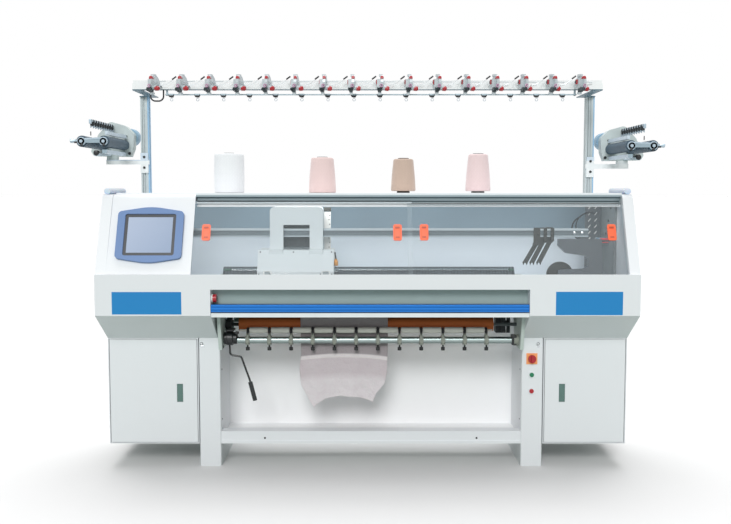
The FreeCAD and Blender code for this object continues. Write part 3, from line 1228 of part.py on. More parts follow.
OUTER_X = "(inner_x + feed_space)"
ROLL_FRONT = "feeder_front - feed_side - feed_long"
LINK_FRONT = "feeder_front - 2 * feed_side - feed_long - link_thick"


def side_feeder():
    """Housing beside a mast, with two fixed shafts, their front link, guide bars and the bar of its comb."""
    corners = [("-inner_x + 28", "feeder_z - 55"), ("-inner_x - 146", "feeder_z - 52"), ("-inner_x - 160", "feeder_z - 29"),
               ("-inner_x - 121", "feeder_z + 52"), ("-inner_x - 67", "feeder_z + 112"), ("-inner_x + 8", "feeder_z + 91"),
               ("-inner_x + 48", "feeder_z + 52"), ("-inner_x + 43", "feeder_z - 17")]
    housing = prism("feeder_housing", "XZ_Plane", corners, "feeder_front", "feeder_deep",
                    [("14", [1, 2, 3, 7]), ("26", [4, 5, 6])])
    pieces = [housing]
    shaft_long = "feed_long + 2 * feed_side + link_thick + 4"
    for i, x in enumerate(("-inner_x", "-" + OUTER_X)):
        pieces.append(bar("dead_shaft_%d" % i, 12, "Y", x, LINK_FRONT, "feeder_z", "dead_radius", shaft_long))
        pieces.append(bar("link_end_%d" % i, 20, "Y", x, LINK_FRONT, "feeder_z", "link_radius", "link_thick"))
    pieces.append(box("front_link", "-" + OUTER_X, LINK_FRONT, "feeder_z - 7", "feed_space", "link_thick", "14"))
    pieces.append(bar("link_stud", 8, "X", "-%s - 38" % OUTER_X, LINK_FRONT + " + link_thick / 2", "feeder_z", "5",
                      "30"))
    pieces.append(box("upper_guide_bar", "-inner_x + 2", "feeder_front - feed_long + 10", "feeder_z + 30", "12",
                      "feed_long - 8", "16"))
    pieces.append(box("lower_guide_bar", "-inner_x - 10", "feeder_front - feed_long + 5", "feeder_z - 52", "20",
                      "feed_long - 3", "16"))
    comb_x = "-inner_x - 62"
    pieces.append(box("comb_bar", comb_x, "feeder_front - feed_long - 8", "feeder_z + 86", "12", "feed_long + 10", "9"))
    pieces.append(box("mount_block", "-inner_x - 84", "feeder_front", "feeder_z - 74", "50", "30", "24"))
    pieces.append(box("mount_arm", "-inner_x - 84", "mast_front - 12", "feeder_z - 92",
                      "inner_x + 84 - mast_x + mast_side / 2", "12", "22"))
    pieces.append(box("mast_clamp", "-mast_x - mast_side / 2", "mast_front - 12", "feeder_z - 132",
                      "mast_side - 4", "12", "95"))
    return join("side_feeder", pieces)


def feed_roller(name, x):
    tube = rod(name + "_tube", "Y", x, ROLL_FRONT, "feeder_z", "feed_radius", "feed_long")
    bore = rod(name + "_bore", "Y", x, ROLL_FRONT + " - 1", "feeder_z", "dead_radius + running", "feed_long + 2")
    return cut(name, tube, [bore])


def side_feeders():
    """The right side's feeder is the left one's mirror image, a little lower on its mast."""
    for name, piece in (("side_feeder", side_feeder()), ("inner_feed_roller", feed_roller("inner_feed", "-inner_x")),
                        ("outer_feed_roller", feed_roller("outer_feed", "-" + OUTER_X))):
        seat(piece, "left_" + name)
        twin = mirrored("right_" + name, piece, Vector(1, 0, 0))
        seat(twin, "right_" + name, y="depth / 2", z="-feeder_drop")


# ---- yarn --------------------------------------------------------------------------------------

PACKAGES = [("white", -647, 69, 69, 186), ("pink", -211, 64, 53, 168), ("brown", 168, 58, 47, 162),
            ("pale", 518, 59, 46, 184)]


def yarn_cones():
    """Four wound packages standing on the table."""
    cones = []
    for name, x, foot, top, high in PACKAGES:
        cone = rod(name + "_cone", "Z", str(x), "cone_y", "table_high", str(foot), str(high),
                   top=str(top) if top != foot else None)
        cones.append(cone)
    seat(group("yarn_cones", cones), "yarn_cones")


# ---- build -------------------------------------------------------------------------------------

def build():
    left_leg()
    right_leg()
    base_beam()
    lower_back_panel()
    for side in ("left", "right"):
        cabinet(side)
        door(side)
        latch(side)
        upper_box(side)
        end_cap(side)
        window_handles(side)
    front_rail()
    left_window()
    right_window()
    screen_panel()
    screen_bezel()
    screen_glass()
    upper_track()
    table_top()
    rear_cover()
    end_lamps()
    apron_panel()
    operating_bar()
    estop_button()
    main_switch()
    push_button("green_button", "green_z")
    push_button("red_button", "red_z")
    needle_beds()
    bed_beam()
    feeder_rails()
    rail_brackets()
    for number in range(len(LANES)):
        yarn_carrier(number)
    carriage()
    takedown_roller()
    press_shaft()
    press_rollers()
    crank_handle()
    knitted_fabric()
    masts()
    yarn_rail()
    yarn_tensioners()
    guide_rod()
    cable_loop()
    side_feeders()
    yarn_cones()
    doc.recompute()


def export():
    """Checks every object and sub-part, then writes each sub-part to its own STEP file."""
    for thing in doc.Objects:
        if "Invalid" in thing.State or "Error" in thing.State:
            raise RuntimeError("%s is %s" % (thing.Name, thing.State))
    os.makedirs("parts", exist_ok=True)
    for part in parts:
        if part.Shape.isNull() or not part.Shape.isValid():
            raise RuntimeError(part.Label + " has no valid shape")
        part.Shape.exportStep("parts/%s.step" % part.Label)
    print(len(parts), "sub-parts")


build()
export()
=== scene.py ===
"""Looks for the flat knitting machine: finishes on its solids, the small pieces they lack, and the studio."""
import math
from collections import namedtuple

import bmesh
import bpy
from bpy.props import FloatProperty, FloatVectorProperty, PointerProperty
from mathutils import Matrix, Vector


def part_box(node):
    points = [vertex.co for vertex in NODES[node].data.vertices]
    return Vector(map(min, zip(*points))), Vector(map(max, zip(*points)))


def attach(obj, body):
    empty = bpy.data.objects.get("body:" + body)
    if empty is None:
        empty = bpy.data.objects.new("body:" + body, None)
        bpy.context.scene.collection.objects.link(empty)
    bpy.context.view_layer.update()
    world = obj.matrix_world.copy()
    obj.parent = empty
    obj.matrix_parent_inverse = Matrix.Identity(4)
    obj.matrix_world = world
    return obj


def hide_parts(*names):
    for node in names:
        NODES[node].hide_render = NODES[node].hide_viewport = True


bl_info = {
    "name": "Flat knitting machine",
    "version": (1, 0, 0),
    "blender": (4, 5, 0),
    "location": "3D View > Sidebar > Knitting",
    "description": "Finishes and small pieces of a two-bed flat knitting machine",
    "category": "Object",
}

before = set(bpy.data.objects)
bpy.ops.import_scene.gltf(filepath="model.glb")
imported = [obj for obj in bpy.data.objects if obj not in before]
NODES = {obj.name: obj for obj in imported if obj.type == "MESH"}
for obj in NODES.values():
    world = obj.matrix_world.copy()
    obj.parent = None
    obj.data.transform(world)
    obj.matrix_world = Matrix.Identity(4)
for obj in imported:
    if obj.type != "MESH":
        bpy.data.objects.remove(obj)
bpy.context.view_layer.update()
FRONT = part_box("left_upper_box")[0][1]


# ---- places and colours ------------------------------------------------------------------------

HOOD_LEAN = math.atan(0.4327)     # the hood's front leans back by this angle
BED_LEAN = math.radians(45)       # and each needle bed by this one
CLIP_PLACE = (0, 211, 902)        # middle of the ledge on the front bed that strip and clips lie on
PRESS_TUBE = (200, 582)           # depth and height of the press tube's axis


def at(x, y, z):
    """Frame point for millimetres right of the middle, back from the boxes' faces and up from the floor."""
    return Vector((x / 1000, FRONT + y / 1000, z / 1000))


def span(node):
    """Low and high corner of a CAD node in the same millimetres as at()."""
    low, high = (Vector(corner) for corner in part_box(node))
    return tuple(Vector((p.x * 1000, (p.y - FRONT) * 1000, p.z * 1000)) for p in (low, high))


def linear(code):
    """Linear colour of an sRGB hex code."""
    parts = [int(code[i:i + 2], 16) / 255 for i in (1, 3, 5)]
    return tuple(c / 12.92 if c <= 0.04045 else ((c + 0.055) / 1.055) ** 2.4 for c in parts)


def colour(name, code, meaning):
    """A colour that a user may change, from its sRGB code."""
    return FloatVectorProperty(name=name, description=meaning, subtype="COLOR", size=3, min=0, max=1,
                               default=linear(code))


def length(name, default_mm, meaning):
    """A size that a user may change, in metres with its default in millimetres."""
    return FloatProperty(name=name, description=meaning, unit="LENGTH", default=default_mm / 1000, min=0)


class KnitterColours(bpy.types.PropertyGroup):
    """Colours of the machine's large surfaces"""
    shell: colour("Shell", "#E8EBEE", "Powder coat of the casings")
    # painted shade: the apron's grey-green stands in for the shade in its recess
    recess: colour("Recess", "#A3B6B4", "Apron behind the operating bar")
    bar: colour("Bar", "#1B7BD4", "Anodised operating bar")
    badge: colour("Badge", "#0A82C4", "Bare plates on the boxes")
    grip: colour("Grips", "#FF6A3C", "Window handles")
    roller: colour("Roller", "#C2672F", "Covering of the take-down roller")
    knit: colour("Knit", "#FBEAF2", "Knitted panel")
    # painted shade: the upper inner side of the rear cover is coloured darker for the shade under the table
    # top
    inside_high: colour("Inside, high", "#93A9B7", "Upper half of the rear cover's inner side")
    inside_low: colour("Inside, low", "#EAF4FF", "Lower half of the rear cover's inner side")


class KnitterSizes(bpy.types.PropertyGroup):
    """Sizes of the small pieces and patterns"""
    needle_wide: length("Needle", 2.4, "Width of a needle's shank")
    loop_wide: length("Loop", 3.2, "Width of a knitted loop")
    wind_pitch: length("Winding", 3.0, "Spacing of the yarn on a package")
    screw_radius: length("Screw", 4.5, "Radius of a cover screw")


# ---- modelling ---------------------------------------------------------------------------------

def clear():
    """Leaves edit mode and deselects everything."""
    if bpy.context.object and bpy.context.object.mode != "OBJECT":
        bpy.ops.object.mode_set(mode="OBJECT")
    bpy.ops.object.select_all(action="DESELECT")


def settled():
    """The active object with its place moved into its mesh."""
    bpy.ops.object.transform_apply(location=True, rotation=True, scale=True)
    return bpy.context.object


HERE = Matrix.Translation(at(0, 0, 0))     # pieces are drawn in at()'s millimetres and moved here
SMOOTH = math.radians(35)                  # faces that meet at less than this are shaded as one


def spot(x, y, z, yaw=0.0):
    """Place at a point of the machine, turned about the upright by an angle in degrees."""
    return Matrix.Translation(at(x, y, z)) @ Matrix.Rotation(math.radians(yaw), 4, "Z")


def leaning(x, y, z, angle):
    """Place on a face that leans back: local x to the right, y up along the face and z out of it."""
    sine, cosine = math.sin(angle), math.cos(angle)
    turn = Matrix(((1, 0, 0), (0, sine, -cosine), (0, cosine, sine))).to_4x4()
    return Matrix.Translation(at(x, y, z)) @ turn


def upright(y):
    """Place for a flat piece drawn in X and Z that grows towards the operator from y."""
    return leaning(0, y, 0, 0)


def block(low, high, soften=0.6, place=HERE, top=None):
    """A box with softened edges between two corners; top draws its upper face in by a share along x and y."""
    clear()
    low, high = Vector(low), Vector(high)
    bpy.ops.mesh.primitive_cube_add(size=1, location=(low + high) / 2000)
    bpy.context.object.scale = (high - low) / 1000
    piece = settled()
    bpy.ops.object.mode_set(mode="EDIT")
    if top:
        bpy.ops.mesh.select_all(action="DESELECT")
        mesh = bmesh.from_edit_mesh(piece.data)
        for face in mesh.faces:
            face.select_set(face.normal.z > 0.9)
        bmesh.update_edit_mesh(piece.data)
        bpy.ops.transform.resize(value=(top[0], top[1], 1))
    bpy.ops.mesh.select_all(action="SELECT")
    bpy.ops.mesh.bevel(offset=soften / 1000, segments=2, affect="EDGES")
    bpy.ops.object.mode_set(mode="OBJECT")
    piece.data.transform(place)
    return piece


QUARTER = math.radians(90)
TURNS = {"X": (0, QUARTER, 0), "-X": (0, -QUARTER, 0), "Y": (-QUARTER, 0, 0), "-Y": (QUARTER, 0, 0),
         "Z": (0, 0, 0), "-Z": (2 * QUARTER, 0, 0)}


def turned(start, axis, steps, sides=20, place=HERE):
    """A turned piece along an axis; steps are (distance from the start, radius) in millimetres."""
    clear()
    bpy.ops.mesh.primitive_circle_add(vertices=sides, radius=steps[0][1] / 1000, fill_type="NGON",
                                      location=(0, 0, steps[0][0] / 1000))
    bpy.ops.object.mode_set(mode="EDIT")
    bpy.ops.mesh.select_all(action="SELECT")
    for (reach, radius), (next_reach, next_radius) in zip(steps, steps[1:]):
        move = {"value": (0, 0, (next_reach - reach) / 1000)}
        bpy.ops.mesh.extrude_region_move(TRANSFORM_OT_translate=move)
        bpy.ops.transform.resize(value=(next_radius / radius,) * 2 + (1,))
    bpy.ops.mesh.select_all(action="SELECT")
    bpy.ops.mesh.normals_make_consistent(inside=False)
    bpy.ops.object.mode_set(mode="OBJECT")
    piece = settled()
    piece.rotation_euler = TURNS[axis]
    piece.location = Vector(start) / 1000
    piece = settled()
    piece.data.transform(place)
    bpy.ops.object.shade_smooth_by_angle(angle=SMOOTH)
    return piece


def bow(centre, radius, thick, first, sweep, place=HERE, upright_axis="Y", sides=8, steps=10):
    """A round bar bent about a centre: a disc spun from one angle through another, in degrees above +X.

    It bends about Y; upright_axis X turns it to bend about X.
    """
    clear()
    bpy.ops.mesh.primitive_circle_add(vertices=sides, radius=thick / 1000, fill_type="NGON",
                                      location=(radius / 1000, 0, 0))
    bpy.ops.object.mode_set(mode="EDIT")
    bpy.ops.mesh.select_all(action="SELECT")
    bpy.ops.mesh.spin(steps=steps, angle=math.radians(sweep), center=(0, 0, 0), axis=(0, -1, 0))
    bpy.ops.mesh.select_all(action="SELECT")
    bpy.ops.mesh.remove_doubles(threshold=0.00002)
    bpy.ops.mesh.normals_make_consistent(inside=False)
    bpy.ops.object.mode_set(mode="OBJECT")
    piece = settled()
    piece.data.transform(Matrix.Rotation(math.radians(-first), 4, "Y"))
    if upright_axis == "X":
        piece.data.transform(Matrix.Rotation(QUARTER, 4, "Z"))
    piece.data.transform(place @ Matrix.Translation(Vector(centre) / 1000))
    bpy.ops.object.shade_smooth_by_angle(angle=SMOOTH)
    return piece


def straight(start, end, radius, sides=8, place=HERE, end_radius=None):
    """A round bar between two points; it may taper."""
    start, end = Vector(start), Vector(end)
    reach = (end - start).length
    piece = turned((0, 0, 0), "Z", [(0, radius), (reach, end_radius or radius)], sides, Matrix.Identity(4))
    aim = (end - start).to_track_quat("Z", "Y").to_matrix().to_4x4()
    piece.data.transform(place @ Matrix.Translation(start / 1000) @ aim)
    return piece


def cut_plate(points, thick, place):
    """A flat plate: its outline in millimetres is filled and extruded along local z."""
    clear()
    bpy.ops.mesh.primitive_plane_add(size=1)
    piece = bpy.context.object
    bpy.ops.object.mode_set(mode="EDIT")
    mesh = bmesh.from_edit_mesh(piece.data)
    bmesh.ops.delete(mesh, geom=mesh.verts, context="VERTS")
    corners = [mesh.verts.new((across / 1000, up / 1000, 0)) for across, up in points]
    mesh.faces.new(corners)
    bmesh.update_edit_mesh(piece.data)
    bpy.ops.mesh.select_all(action="SELECT")
    bpy.ops.mesh.extrude_region_move(TRANSFORM_OT_translate={"value": (0, 0, thick / 1000)})
    bpy.ops.mesh.select_all(action="SELECT")
    bpy.ops.mesh.normals_make_consistent(inside=False)
    bpy.ops.object.mode_set(mode="OBJECT")
    piece.data.transform(place)
    return piece


def surround(wide, high, wall, thick, place):
    """A flat frame about local zero: a plate is inset, its middle taken out and the rest extruded."""
    clear()
    bpy.ops.mesh.primitive_plane_add(size=1)
    piece = bpy.context.object
    piece.scale = (wide / 1000, high / 1000, 1)
    settled()
    bpy.ops.object.mode_set(mode="EDIT")
    bpy.ops.mesh.select_all(action="SELECT")
    bpy.ops.mesh.inset(thickness=wall / 1000)
    bpy.ops.mesh.delete(type="FACE")
    bpy.ops.mesh.select_all(action="SELECT")
    bpy.ops.mesh.extrude_region_move(TRANSFORM_OT_translate={"value": (0, 0, thick / 1000)})
    bpy.ops.mesh.select_all(action="SELECT")
    bpy.ops.mesh.normals_make_consistent(inside=False)
    bpy.ops.object.mode_set(mode="OBJECT")
    piece.data.transform(place)
    return piece


def copies(piece, offsets):
    """The piece and copies of it, each with its own mesh, moved by millimetres."""
    made = [piece]
    for offset in offsets:
        twin = piece.copy()
        twin.data = piece.data.copy()
        twin.data.transform(Matrix.Translation(Vector(offset) / 1000))
        bpy.context.collection.objects.link(twin)
        made.append(twin)
    return made


def mirrored(piece, drop=0.0):
    """The piece's twin on the other side of the machine, lower by a drop in millimetres."""
    clear()
    twin = piece.copy()
    twin.data = piece.data.copy()
    twin.data.transform(Matrix.Translation((0, 0, -drop / 1000)) @ Matrix.Diagonal((-1, 1, 1, 1)))
    twin.data.flip_normals()
    bpy.context.collection.objects.link(twin)
    return twin


def joined(pieces):
    """The pieces joined into the first of them."""
    clear()
    for piece in pieces:
        piece.select_set(True)
    bpy.context.view_layer.objects.active = pieces[0]
    if len(pieces) > 1:
        bpy.ops.object.join()
    return bpy.context.object


def finished(name, pieces, coat, body="machine"):
    """Joins pieces into one, names it, paints it and lets it ride on its CAD body."""
    whole = joined(pieces)
    whole.name = name
    whole.data.materials.clear()
    whole.data.materials.append(coat)
    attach(whole, body)
    return whole


# ---- finishes ----------------------------------------------------------------------------------

def node(tree, kind, settings=None, **inputs):
    """Adds a shader node: settings are its own properties, inputs are values or sockets to link."""
    made = tree.nodes.new(kind)
    for key, value in (settings or {}).items():
        setattr(made, key, value)
    for key, value in inputs.items():
        numbered = key[0] == "i" and key[1:].isdigit()
        socket = made.inputs[int(key[1:])] if numbered else made.inputs[key.replace("_", " ")]
        if isinstance(value, bpy.types.NodeSocket):
            tree.links.new(value, socket)
        else:
            socket.default_value = value
    return made


def finish(name, base, roughness, metallic=0.0, **sockets):
    """A named material; returns it with its tree, its shader and its Object coordinates."""
    material = bpy.data.materials.new(name)
    material.use_nodes = True
    tree = material.node_tree
    shader = tree.nodes["Principled BSDF"]
    shader.inputs["Base Color"].default_value = (*base, 1)
    shader.inputs["Roughness"].default_value = roughness
    shader.inputs["Metallic"].default_value = metallic
    for key, value in sockets.items():
        shader.inputs[key.replace("_", " ")].default_value = value
    place = node(tree, "ShaderNodeTexCoord").outputs["Object"]
    return material, tree, shader, place


def bump(tree, shader, height, strength, distance_mm):
    """Lets a height of 0 to 1 tilt the surface as a relief of some millimetres."""
    lift = node(tree, "ShaderNodeBump", Strength=strength, Distance=distance_mm / 1000, Height=height)
    tree.links.new(lift.outputs["Normal"], shader.inputs["Normal"])


def noise(tree, place, size_mm, detail=2.0, roughness=0.5):
    """Noise whose patches are about size_mm across."""
    made = node(tree, "ShaderNodeTexNoise", Vector=place, Scale=1000 / size_mm, Detail=detail,
                Roughness=roughness)
    return made.outputs["Fac"]


def stretched(tree, place, scale, fineness=1.0, detail=3.0):
    """Noise drawn out into lines by a scale along each axis."""
    lines = node(tree, "ShaderNodeMapping", Vector=place, Scale=scale)
    made = node(tree, "ShaderNodeTexNoise", Vector=lines.outputs[0], Scale=fineness, Detail=detail)
    return made.outputs["Fac"]


WAVE = 1 / 3.2     # metres from band to band of a Wave texture at scale 1


def stripes(tree, place, direction, pitch, distortion=0.0, detail=2.0):
    """Soft stripes across one axis, a pitch in metres apart."""
    wave = {"wave_type": "BANDS", "bands_direction": direction}
    made = node(tree, "ShaderNodeTexWave", wave, Vector=place, Scale=WAVE / pitch, Distortion=distortion,
                Detail=detail)
    return made.outputs["Fac"]


def coordinate(tree, place, axis):
    """One of the place's coordinates, in metres."""
    return node(tree, "ShaderNodeSeparateXYZ", Vector=place).outputs[axis]


def sum_of(tree, operation, one, other, third=0.0):
    """The outcome of a Math node."""
    return node(tree, "ShaderNodeMath", {"operation": operation}, i0=one, i1=other, i2=third).outputs[0]


def beyond(tree, value, edge):
    """1 where the value is above the edge."""
    return sum_of(tree, "GREATER_THAN", value, edge)


def both(tree, one, other):
    """1 where both shares are 1; it also scales one share by a number."""
    return sum_of(tree, "MULTIPLY", one, other)


def less(tree, value):
    """What a share leaves of 1."""
    return sum_of(tree, "SUBTRACT", 1.0, value)


def between(tree, value, low, high):
    """0 at low, 1 at high and a straight ramp between them."""
    return node(tree, "ShaderNodeMapRange", Value=value, From_Min=low, From_Max=high).outputs[0]


def blend(tree, share, first, second):
    """Colour that goes from first to second."""
    mixed = node(tree, "ShaderNodeMix", {"data_type": "RGBA"}, Factor=share)
    for socket, value in ((mixed.inputs[6], first), (mixed.inputs[7], second)):
        if isinstance(value, bpy.types.NodeSocket):
            tree.links.new(value, socket)
        else:
            socket.default_value = (*value, 1)
    return mixed.outputs[2]


def shaded(base, share):
    """The colour made darker or lighter by a share."""
    return tuple(min(1.0, c * share) for c in base)


def mottled(name, base, roughness, metallic=0.0, size_mm=30, spread=0.06, grit_mm=1.5, relief=0.1, **sockets):
    """A finish whose tone drifts over size_mm and whose surface has a fine grit."""
    material, tree, shader, place = finish(name, base, roughness, metallic, **sockets)
    drift = noise(tree, place, size_mm, 3.0)
    tone = blend(tree, drift, shaded(base, 1 - spread), shaded(base, 1 + spread))
    tree.links.new(tone, shader.inputs["Base Color"])
    bump(tree, shader, noise(tree, place, grit_mm), relief, 0.2)
    return material


def powder_coat(name, base, roughness=0.42):
    """Polyester powder coat on sheet steel: satin, with a fine orange peel about 2 mm across."""
    return mottled(name, base, roughness, size_mm=500, spread=0.02, grit_mm=2.0, relief=0.06)


def brushed(name, base, roughness=0.35, along="X"):
    """Brushed or ground metal: fine lines along one axis, drawn about 1 mm apart so that they show."""
    material, tree, shader, place = finish(name, base, roughness, 1.0)
    stretch = {"X": (8, 900, 900), "Y": (900, 8, 900), "Z": (900, 900, 8)}[along]
    grain = stretched(tree, place, stretch)
    tree.links.new(blend(tree, grain, shaded(base, 0.82), shaded(base, 1.12)), shader.inputs["Base Color"])
    bump(tree, shader, grain, 0.15, 0.1)
    return material


def moulded(name, base, roughness=0.3):
    """Injection moulded ABS: smooth, with the faint mottling of a spark-eroded tool."""
    return mottled(name, base, roughness, size_mm=12, spread=0.04, grit_mm=0.8, relief=0.06, IOR=1.53)


def anodised_bar(base):
    """Blue anodised extrusion: satin metal with fine draw lines; faces behind the ribs' crests are painted
    much darker as shade in the grooves.
    """
    material, tree, shader, place = finish("blue_anodised_bar", base, 0.32, 0.3)
    grain = stretched(tree, place, (4, 1200, 1200), detail=2.0)
    depth = coordinate(tree, place, "Y")
    crests = span("operating_bar")[0].y
    # painted shade: from 0.5 to 5 mm behind the crests the blue darkens to little more than a quarter
    crest = between(tree, depth, FRONT + (crests + 5) / 1000, FRONT + (crests + 0.5) / 1000)
    tone = blend(tree, grain, shaded(base, 0.9), shaded(base, 1.1))
    tree.links.new(blend(tree, crest, shaded(base, 0.28), tone), shader.inputs["Base Color"])
    bump(tree, shader, grain, 0.1, 0.1)
    return material


def clear_acrylic():
    """Cast acrylic sheet: nearly colourless and glossy, with the slow waves of bent sheet.

    What it mirrors at each angle is what covers the things behind it, so its alpha follows Fresnel.
    """
    index, haze = 1.49, 0.03
    material, tree, shader, place = finish("cast_acrylic", linear("#DCE6EA"), 0.05, IOR=index)
    edge = node(tree, "ShaderNodeFresnel", IOR=index).outputs[0]
    tree.links.new(sum_of(tree, "MULTIPLY_ADD", edge, 0.9, haze), shader.inputs["Alpha"])
    shader.inputs["Specular IOR Level"].default_value = 1.0
    bump(tree, shader, noise(tree, place, 260, 2.0), 0.3, 8.0)
    return material


def rear_cover_finish(colours):
    """Powder coat outside; inside, the upper part is painted darker as shade under the table top and the
    lower part is pale.
    """
    material, tree, shader, place = finish("rear_cover_coat", colours.shell, 0.45)
    depth = coordinate(tree, place, "Y")
    height = coordinate(tree, place, "Z")
    outside = beyond(tree, depth, FRONT + (span("rear_cover")[1].y - 0.4) / 1000)
    # painted shade: between these heights, in metres, the inner side turns to the darker colour
    painted_shade_low, painted_shade_high = 1.02, 1.05
    mottle = noise(tree, place, 260, 4.0)
    lining_and_painted_shade = blend(tree, mottle, shaded(colours.inside_high, 0.82), shaded(colours.inside_high, 1.1))
    low = blend(tree, mottle, shaded(colours.inside_low, 0.84), shaded(colours.inside_low, 1.05))
    inner = blend(tree, between(tree, height, painted_shade_low, painted_shade_high), low, lining_and_painted_shade)
    tree.links.new(blend(tree, less(tree, outside), colours.shell, inner), shader.inputs["Base Color"])
    bump(tree, shader, noise(tree, place, 2.0), 0.06, 0.2)
    return material


def touch_screen():
    """Dimmed display under glass: pale violet grey, lighter at its upper left, with faint wipe marks."""
    material, tree, shader, place = finish("touch_screen", linear("#A3ADCB"), 0.45)
    shader.inputs["Specular IOR Level"].default_value = 0.2
    low, high = span("screen_glass")
    fall = between(tree, sum_of(tree, "SUBTRACT", coordinate(tree, place, "X"), coordinate(tree, place, "Z")),
                   (low.x - high.z) / 1000, (high.x - low.z) / 1000)
    tone = blend(tree, fall, linear("#B4C0D6"), linear("#98A8C2"))
    tree.links.new(tone, shader.inputs["Base Color"])
    bump(tree, shader, stretched(tree, place, (300, 20, 20), 0.3), 0.05, 0.2)
    return material


def press_finish():
    """Chromed tube; grey cast arms with black heads; black moulded thumb knobs."""
    chrome, cast_rough, chrome_rough = linear("#98A6A4"), 0.5, 0.32
    tube_radius, knob_top, head_foot = 0.0159, 0.5505, 0.614
    material, tree, shader, place = finish("press_shaft_finish", chrome, chrome_rough, 1.0)
    height = coordinate(tree, place, "Z")
    depth = coordinate(tree, place, "Y")
    tube_y, tube_z = at(0, *PRESS_TUBE).yz
    off = node(tree, "ShaderNodeCombineXYZ", X=sum_of(tree, "SUBTRACT", depth, tube_y),
               Y=sum_of(tree, "SUBTRACT", height, tube_z))
    radius = node(tree, "ShaderNodeVectorMath", {"operation": "LENGTH"}, i0=off.outputs[0]).outputs["Value"]
    arm = beyond(tree, radius, tube_radius)
    knob = less(tree, beyond(tree, height, knob_top))
    dark = sum_of(tree, "MAXIMUM", knob, beyond(tree, height, head_foot))
    cast = blend(tree, noise(tree, place, 6, 3.0), linear("#767B72"), linear("#A2A69B"))
    metal = blend(tree, arm, chrome, cast)
    tree.links.new(blend(tree, dark, metal, linear("#17191A")), shader.inputs["Base Color"])
    tree.links.new(less(tree, arm), shader.inputs["Metallic"])
    rough = node(tree, "ShaderNodeMapRange", Value=arm, To_Min=chrome_rough, To_Max=cast_rough)
    tree.links.new(rough.outputs[0], shader.inputs["Roughness"])
    bump(tree, shader, noise(tree, place, 1.5), 0.05, 0.2)
    return material


def inside(tree, place, limits):
    """1 inside the limits, each an axis with its low and high in millimetres, and 0 outside."""
    share = None
    for axis, low, high in limits:
        value = coordinate(tree, place, axis)
        start = FRONT if axis == "Y" else 0
        for operation, edge in (("GREATER_THAN", low), ("LESS_THAN", high)):
            test = sum_of(tree, operation, value, start + edge / 1000)
            share = test if share is None else both(tree, share, test)
    return share


def zoned(name, base, zones, roughness=0.42, metallic=0.0, size_mm=60, spread=0.05):
    """A mottled finish with other colours in some parts of its solid; zones are (limits, colour)."""
    material, tree, shader, place = finish(name, base, roughness, metallic)
    drift = noise(tree, place, size_mm, 3.0)
    tone = blend(tree, drift, shaded(base, 1 - spread), shaded(base, 1 + spread))
    for limits, other in zones:
        drifting = blend(tree, drift, shaded(other, 1 - spread), shaded(other, 1 + spread))
        tone = blend(tree, inside(tree, place, limits), tone, drifting)
    tree.links.new(tone, shader.inputs["Base Color"])
    bump(tree, shader, noise(tree, place, 2.0), 0.08, 0.2)
    return material


def knit_finish(colours, sizes):
    """Fine wool and acrylic yarn in plain knit: soft sheen and columns of loops about 3 mm wide.

    From the top down: the stretch in the shade of the beds, painted darker; two pale rows where the yarn
    changes; a darker stretch painted as the hood's shadow; and the pale end that hangs in the light. All of
    them fall away to both sides.
    """
    material, tree, shader, place = finish("plain_knit", colours.knit, 0.92)
    shader.inputs["Sheen Weight"].default_value = 0.3
    shade_foot, rows_at, row_high = 0.512, (0.4985, 0.5085), 0.004
    painted_shadow_foot, painted_shadow_top = (0.395, 0.43), (0.495, 0.505)
    columns = stripes(tree, place, "X", sizes.loop_wide, 0.6, 1.0)
    courses = stripes(tree, place, "Z", sizes.loop_wide * 0.75, 0.6, 1.0)
    loops = both(tree, columns, courses)
    height = coordinate(tree, place, "Z")
    middle_left, arch = 0.11, 0.35
    aside = sum_of(tree, "ADD", coordinate(tree, place, "X"), middle_left)
    squared = sum_of(tree, "POWER", aside, 2.0)
    level = sum_of(tree, "SUBTRACT", height, both(tree, squared, -arch))

    cloud = noise(tree, place, 45, 6.0, 0.8)
    heather = both(tree, noise(tree, place, 9, 4.0, 0.9), 0.3)
    tone = blend(tree, cloud, shaded(colours.knit, 0.9), shaded(colours.knit, 1.3))
    tone = blend(tree, heather, tone, shaded(linear("#C9B3BD"), 0.9))
    # painted shadow: the hood's shadow across the panel below the two pale rows
    dark = both(tree, between(tree, level, *painted_shadow_foot), less(tree, between(tree, level, *painted_shadow_top)))
    tone = blend(tree, both(tree, dark, 0.5), tone, shaded(linear("#E0CBD3"), 0.7))
    # painted shade: the upper stretch under the beds
    upper = both(tree, between(tree, level, shade_foot, shade_foot + 0.006), 0.8)
    tone = blend(tree, upper, tone, shaded(linear("#C2AEB6"), 0.42))
    for edge in rows_at:
        row = both(tree, beyond(tree, level, edge), less(tree, beyond(tree, level, edge + row_high)))
        tone = blend(tree, row, tone, linear("#EFE6E6"))
    tone = blend(tree, both(tree, loops, 0.35), tone, shaded(colours.knit, 1.25))
    tree.links.new(tone, shader.inputs["Base Color"])
    crumple = sum_of(tree, "MULTIPLY_ADD", noise(tree, place, 34, 4.0, 0.65), 6.0, loops)
    bump(tree, shader, crumple, 1.0, 1.2)
    return material


